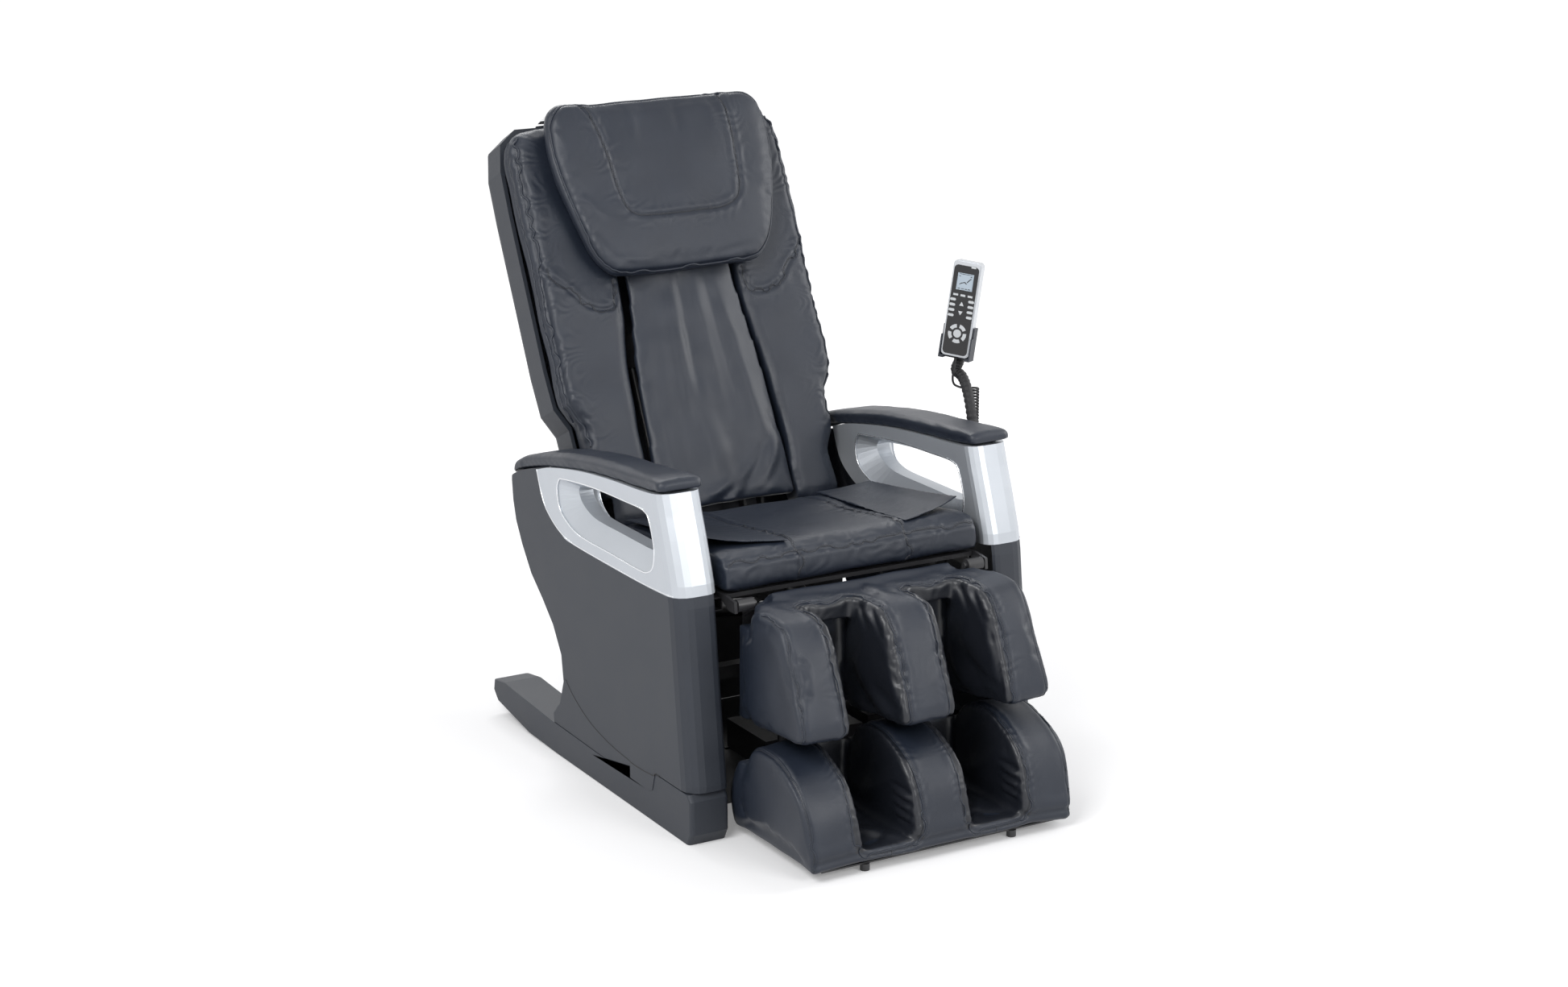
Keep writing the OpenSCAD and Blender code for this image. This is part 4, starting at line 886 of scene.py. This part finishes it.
# %% Arm pads
for side, hand in SIDES:
    source = "arm_pad_" + hand
    low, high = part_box(source)
    pad = stuffed("arm pad " + hand, source, voxel=0.0055, cap=0.003, inset=0.001)
    cover = surface(pad)
    outer = (high.x if side > 0 else -low.x) * 1000
    inner = (low.x if side > 0 else -high.x) * 1000
    seams = []
    for x in (outer + 5, inner - 5):
        seams.append(drawn(cover, [at(side * x, y, z) for y, z in (
            (-226, 650), (-168, 643), (-45, 634), (84, 619), (219, 593), (330, 562))]))
    for line in seams:
        pressed(pad, line, 0.004, 0.0022)
    rumpled(pad, 0.07, 0.0016, seed=60 + side)
    dressed(pad, leather, source, [source])
    print(pad.name, len(pad.data.polygons), "faces")

# %% [markdown]
# ## Calf and foot rests
# Each unit has three padded walls with a trough on both sides of the middle one, under one
# leather cover. So its solids are joined before the remesh, which melts them into one skin. The
# yoke across the top of the calf unit is one box more, and a padded roll round the hinge's own
# axis closes the gap to the seat at every angle.

# %% Joining solids under one cover
def boxed(form, low, high):
    """A box between two corners."""
    place = Matrix.Translation((low + high) / 2) @ Matrix.Diagonal((*(high - low), 1))
    bmesh.ops.create_cube(form, size=1, matrix=place)


def joined(name, sources, boxes=(), rolls=()):
    """Several of the model's solids with boxes and crosswise rolls, in one new object."""
    form = bmesh.new()
    for source in sources:
        form.from_mesh(frame["nodes"][source].data)
    bmesh.ops.remove_doubles(form, verts=form.verts, dist=1e-6)
    for low, high in boxes:
        boxed(form, low, high)
    for middle, radius, length in rolls:
        place = Matrix.Translation(middle) @ Matrix.Rotation(math.pi / 2, 4, "Y")
        bmesh.ops.create_cone(form, cap_ends=True, segments=32, radius1=radius,
                              radius2=radius, depth=length, matrix=place)
    bmesh.ops.recalc_face_normals(form, faces=form.faces)
    return kept(name, form, smooth=False)


def walled(side, x, profile):
    """A line that follows a wall's profile at one width."""
    return [at(side * x, y, z) for y, z in profile]


CALF_FRONT = [(-400, 446), (-455, 446), (-485, 434), (-511, 398), (-541, 336), (-561, 286),
              (-570, 255), (-560, 236), (-530, 228), (-469, 219), (-405, 212)]
CALF_SIDE = 262
YOKE = (at(-246, -391, 400), at(246, -340, 445))
KNEE_ROLL = (at(0, -325, 436), 19.5 * MM, 400 * MM)
calf_nodes = ["calf_bolster_left", "calf_bolster_centre", "calf_bolster_right", "calf_cradle"]
calf = remeshed(joined("calf cover", calf_nodes, [YOKE], [KNEE_ROLL]), 0.0065, 7)
mesh = calf.data
put_points(mesh, points_of(mesh) - normals_of(mesh) * 0.003)
refined(swollen(calf, 0.005))
print(calf.name, len(calf.data.polygons), "faces")

# %% [markdown]
# Every trough has one seam round it, from the bottom of the side wall over the yoke's notch to
# the bottom of the middle wall. A second kind runs down the outer corner of each side wall. The
# lining in the troughs is gathered into them, with soft folds below.

# %% Calf seams and folds
def trough_line(side):
    up = walled(side, 178, CALF_FRONT[::-1])
    notch = [at(side * 172, -386, 446), at(side * 150, -380, 446), at(side * 112, -398, 445),
             at(side * 70, -380, 446), at(side * 50, -386, 446)]
    return up + notch + walled(side, 43, CALF_FRONT)


def wall_folds(x, lean, shift):
    """Folds on a trough's wall, gathered at the top and slack at the bottom."""
    return [
        (at(x, -402, 436), at(x, -446, 398 + shift), 0.009, -0.006),
        (at(x, -420, 446), at(x, -470, 402), 0.008, 0.004),
        (at(x, -440, 446), at(x, -500, 388 + shift), 0.008, -0.004),
        (at(x, -400, 330), at(x, -520, 238), 0.017, 0.006 * lean),
        (at(x, -380, 300), at(x, -470, 226), 0.015, -0.006 * lean),
        (at(x, -450, 300 + shift), at(x, -556, 262), 0.012, -0.004),
        (at(x, -440, 410), at(x, -420, 250), 0.022, 0.003),
    ]


def seamed(made, gathered, smooth, reach, pitch, seed):
    """Seams are pressed in, and the gathered ones pucker the leather beside them."""
    for line in gathered:
        pressed(made, line, 0.0045, 0.003)
        puckered(made, line, reach, pitch, 0.0008, seed=seed)
    for line in smooth:
        pressed(made, line, 0.004, 0.0025)


cover = surface(calf)
troughs = [drawn(cover, trough_line(side)) for side in (-1, 1)]
corners = [drawn(cover, walled(side, CALF_SIDE, CALF_FRONT)) for side in (-1, 1)]
folds = []
for side in (-1, 1):
    folds += wall_folds(side * 60, 1, 6 * side) + wall_folds(side * 160, -1, -8 * side)
folded(calf, folds)
seamed(calf, troughs, corners, reach=0.020, pitch=0.026, seed=71)
rumpled(calf, 0.08, 0.0025, seed=73)
print("calf folds:", len(folds))


# %% A darker lining in the troughs
def lined(made, inner, outer, is_lining):
    """Faces between two widths, where is_lining holds, take the second material."""
    made.data.materials.append(lining)
    middles = np.array([f.center for f in made.data.polygons])
    aims = np.array([f.normal for f in made.data.polygons])
    wide = np.abs(middles[:, 0])
    chosen = (wide > inner) & (wide < outer) & is_lining(middles, aims)
    made.data.polygons.foreach_set("material_index", chosen.astype(np.int32))
    print(made.name, int(chosen.sum()), "lining faces")


def piped(title, cover, line, node, offset=4.0, closed=False):
    """A laid line gets its piping, and a row of stitches beside it."""
    piping = tube(title + " piping", line, 1.5 * MM, lift=0.1 * MM, closed=closed)
    dressed(piping, leather, node, fine=0)
    sewn = stitched(title + " stitching", cover, [line], offset=offset * MM)
    dressed(sewn, thread, node, fine=0)


dressed(calf, leather, "calf_cradle", calf_nodes, fine=0)
lined(calf, 0.0435, 0.1785, lambda p, n: (p[:, 1] < -0.352) & ((p[:, 2] < 0.43) | (p[:, 1] < (
    -0.392 + 0.012 * np.abs(np.abs(p[:, 0]) - 0.111) / 0.06))))
cover = surface(calf)
for side, hand in SIDES:
    line = drawn(cover, trough_line(side))
    piped("calf trough " + hand, cover, line, "calf_cradle", offset=-side * 4)
    line = drawn(cover, walled(side, CALF_SIDE, CALF_FRONT))
    piped("calf corner " + hand, cover, line, "calf_cradle", offset=side * 4)

# %% [markdown]
# The foot unit is made the same way. Its seams meet in a U round the front of each trough, the
# lining is pinched along them, and more leather lies loose on the trough's floor.

# %% Foot cover
FOOT_FRONT = [(-384, 172), (-406, 196), (-430, 205), (-470, 207), (-500, 202), (-545, 184),
              (-582, 158), (-606, 122), (-620, 84)]
FOOT_CORNER = FOOT_FRONT + [(-628, 44), (-622, 22)]
FOOT_SIDE = 281
foot_nodes = ["foot_bolster_left", "foot_bolster_centre", "foot_bolster_right", "foot_base"]
foot = remeshed(joined("foot cover", foot_nodes), 0.0065, 5)
mesh = foot.data
put_points(mesh, points_of(mesh) - normals_of(mesh) * 0.0025)
refined(swollen(foot, 0.005))


def well_line(side):
    turn = [at(side * 186, -628, 62), at(side * 172, -632, 44), at(side * 140, -632, 39),
            at(side * 92, -632, 39), at(side * 62, -632, 44), at(side * 47, -628, 62)]
    return walled(side, 188, FOOT_FRONT) + turn + walled(side, 45, FOOT_FRONT[::-1])


def well_folds(x, inward):
    """Pinches along the seam of a foot trough, with loose leather above the floor."""
    pinches = [(at(x, -606, z), at(x + inward * 4, -556 + 0.3 * (z - 60), z + 4), 0.0055,
                -0.0055) for z in (66, 84, 103, 124)]
    rolls = [(at(x, -598, z), at(x, -548, z + 2), 0.007, 0.005) for z in (75, 94, 113)]
    loose = [(at(x, -560, 150), at(x, -450, 80), 0.020, 0.005),
             (at(x, -470, 190), at(x, -420, 80), 0.020, -0.004)]
    return pinches + rolls + loose


cover = surface(foot)
wells = [drawn(cover, well_line(side)) for side in (-1, 1)]
corners = [drawn(cover, walled(side, FOOT_SIDE, FOOT_CORNER)) for side in (-1, 1)]
folds = []
for side in (-1, 1):
    folds += well_folds(side * 62, side) + well_folds(side * 171, -side)
    folds += [(at(side * 74, -600, 46), at(side * 150, -500, 46), 0.014, 0.006),
              (at(side * 84, -560, 46), at(side * 160, -590, 46), 0.012, -0.005),
              (at(side * 80, -470, 46), at(side * 150, -420, 46), 0.015, 0.006),
              (at(side * 100, -520, 46), at(side * 160, -440, 46), 0.012, -0.005)]
folded(foot, folds)
seamed(foot, wells, corners, reach=0.016, pitch=0.022, seed=81)
rumpled(foot, 0.08, 0.0025, seed=83)
dressed(foot, leather, "foot_base", foot_nodes, fine=0)
lined(foot, 0.0455, 0.1875, lambda p, n: (p[:, 2] > 0.041) & (p[:, 1] < -0.37))
cover = surface(foot)
for side, hand in SIDES:
    line = drawn(cover, well_line(side))
    piped("foot trough " + hand, cover, line, "foot_base", offset=side * 4)
    line = drawn(cover, walled(side, FOOT_SIDE, FOOT_CORNER))
    piped("foot corner " + hand, cover, line, "foot_base", offset=side * 4)
    # Painted shade: a dark cord down the front below each trough stands in for a seam's shadow.
    line = drawn(cover, [at(side * 112, -633, z) for z in (38, 32, 26, 20)])
    painted_seam_shadow("foot front seam shadow " + hand, line, "foot_base")
print(foot.name, len(foot.data.polygons), "faces")

# %% [markdown]
# ## Dark sheets under the seat: painted shade
# Two dark sheets of plastic close the chassis below the seat and paint the shade there: a tray
# on the floor rails and a cover at the rear. They stay clear of the actuators and of the back as
# it comes down.

# %% Tray and rear cover
form = bmesh.new()
for low, high in ((at(-266, -268, 31.2), at(266, 238, 33.0)),
                  (at(-266, 239, 33), at(266, 240.6, 290))):
    boxed(form, low, high)
# Painted shade: these dark sheets stand in for the shade inside the chassis.
under = kept("under seat shade sheets", form, smooth=False)
dressed(under, case_plastic, "base_frame", fine=0)
under.data.shade_flat()
print("covers:", len(under.data.polygons), "faces")

# %% [markdown]
# ## Shells and arm trims
# The silver trims have bright lips round their openings and along their lower edge. The moulded
# side shells have one long sunk line near the floor. Each is a thin tube laid on the model's own
# surface, so it follows the shell's curve.

# %% Lips and shell lines
ARM_TOP = 634
TRIM_OUTER, TRIM_INNER, SHELL_OUTER = 381, 289, 382
RIM = [(165, -65), (138, -56), (20, -43), (-106, -37), (-186, -36), (-209, -53), (-226, -98),
       (-221, -134), (-201, -150), (-164, -155), (-40, -154), (50, -154), (103, -149),
       (155, -127), (172, -94)]
LOWER_EDGE = [(262, -66), (236, -122), (203, -150), (157, -170), (104, -178), (-20, -179),
              (-163, -179), (-296, -174)]
SHELL_LINE = [(156, 169), (119, 143), (57, 115), (-17, 98), (-93, 90), (-166, 89), (-237, 95)]
for side, hand in SIDES:
    trim = surface(frame["nodes"]["arm_trim_" + hand])
    for title, x in (("outer", TRIM_OUTER), ("inner", TRIM_INNER)):
        lip = drawn(trim, [at(side * x, y, ARM_TOP + z) for y, z in RIM], closed=True)
        lip = tube(f"{title} lip {hand}", lip, 1.6 * MM, lift=-0.3 * MM, closed=True)
        dressed(lip, bright_lip, "arm_trim_" + hand, fine=0)
    edge = drawn(trim, [at(side * TRIM_OUTER, y, ARM_TOP + z + 2) for y, z in LOWER_EDGE])
    edge = tube("lower lip " + hand, edge, 1.4 * MM, lift=-0.3 * MM)
    dressed(edge, bright_lip, "arm_trim_" + hand, fine=0)
    shell = surface(frame["nodes"]["side_shell_" + hand])
    line = drawn(shell, [at(side * SHELL_OUTER, y, z) for y, z in SHELL_LINE])
    line = tube("shell line " + hand, line, 1.3 * MM, lift=-0.5 * MM)
    dressed(line, rubber, "side_shell_" + hand, fine=0)
print("lips on both arms")

# %% [markdown]
# ## Handset
# The handset's face is a glossy black plate with a window for the display. It is a rounded
# outline bridged to a square one, then given its thickness.

# %% The handset's own directions
HOLD = (Matrix.Translation(at(406, -14, 752)) @ Matrix.Rotation(math.radians(-53), 4, "Z")
        @ Matrix.Rotation(math.radians(6), 4, "Y") @ Matrix.Rotation(math.radians(-6), 4, "X"))
FACE = -12.0


def on_hand(across, out, up):
    """A point from millimetres across, out of and up along the handset's face."""
    return HOLD @ at(across, FACE - out, up + 6)


def loop_on(form, points):
    """A closed loop of edges through points."""
    dots = [form.verts.new(point) for point in points]
    return [form.edges.new((dots[i - 1], dots[i])) for i in range(len(dots))]


# %% Face plate and display marks
corner, half_wide, low, high = 8, 25.5, 4, 181
outline = []
for middle_x, middle_z, start in ((half_wide - corner, high - corner, 0),
                                  (corner - half_wide, high - corner, 90),
                                  (corner - half_wide, low + corner, 180),
                                  (half_wide - corner, low + corner, 270)):
    for step in range(7):
        a = math.radians(start + 15 * step)
        outline.append(on_hand(middle_x + corner * math.cos(a), 0.5,
                               middle_z + corner * math.sin(a)))
window = [on_hand(x, 0.5, z) for x, z in ((17, 166), (-17, 166), (-17, 132), (17, 132))]
form = bmesh.new()
edges = loop_on(form, outline) + loop_on(form, window)
bmesh.ops.bridge_loops(form, edges=edges)
bmesh.ops.recalc_face_normals(form, faces=form.faces)
bmesh.ops.solidify(form, geom=form.faces[:], thickness=0.6 * MM)
plate = kept("handset face", form, smooth=False)
dressed(plate, gloss_black, "handset_body", fine=0)
plate.data.shade_flat()

form = bmesh.new()
marks = [(0, 163.5, 26, 0.8, 0), (-4.5, 146.5, 8, 1.7, 20), (1.5, 146.6, 6, 1.7, -38),
         (7, 151.5, 8.5, 1.9, 52), (11, 155.8, 2.2, 2.2, 0), (-9.5, 143.8, 4, 1.5, 35),
         (-11, 135, 5, 1.4, 0), (-3.5, 135, 6, 1.0, 0), (3.5, 135, 4, 1.4, 0),
         (10, 135, 5, 1.4, 0), (-12, 159.5, 3.5, 1.2, 0), (11.5, 160, 3, 1.8, 0)]
for x, z, wide, tall, turn in marks:
    place = (HOLD @ Matrix.Translation(at(x, FACE + 0.05, z + 6))
             @ Matrix.Rotation(math.radians(-turn), 4, "Y")
             @ Matrix.Diagonal((wide * MM, 0.25 * MM, tall * MM, 1)))
    bmesh.ops.create_cube(form, size=1, matrix=place)
icon = kept("display marks", form, smooth=False)
dressed(icon, gloss_black, "handset_screen", fine=0)
icon.data.shade_flat()
print("display marks:", len(marks))

# %% [markdown]
# ## Handset cord
# One cord runs from under the handset in a loose bow, then down in fourteen curls beside the
# stalk and back into the side shell. Its line is worked out first, and a round curve gives it
# its thickness. The cord stays with the base, so it doesn't follow a lifted handset.

# %% Cord
CURL = Vector((442, -30, 690))
TURNS, DROP, CURL_R = 14, 6.0, 7.75
lead = rounded([at(406.3, -14.3, 757.4), at(405.7, -14.3, 748.4), at(403, -14, 730),
                at(403, -10, 712), at(410, -5, 698), at(424, -2, 690), at(438, -6, 686),
                at(446, -16, 688.5), at(449.75, -29.5, 690.2)], 0.003)
curls = []
for i in range(TURNS * 16 + 1):
    a = 2 * math.pi * i / 16
    curls.append(at(CURL.x + CURL_R * math.cos(a), CURL.y - CURL_R * math.sin(a),
                    CURL.z - DROP * i / 16))
tail = rounded([curls[-1], at(448.7, -34, 603), at(442, -36, 592), at(434, -40, 560),
                at(428, -42, 500), at(424, -42, 460), at(416, -42, 438), at(400, -42, 430),
                at(380.4, -42, 430)], 0.004)
route = lead[:-1] + curls + tail[1:]
cord = tube("handset cord", [(point, UPWARD) for point in route], 2.25 * MM)
dressed(cord, rubber, "handset_lead", ["handset_lead", "handset_coil"], fine=0)

# %% [markdown]


print("all pieces dressed")
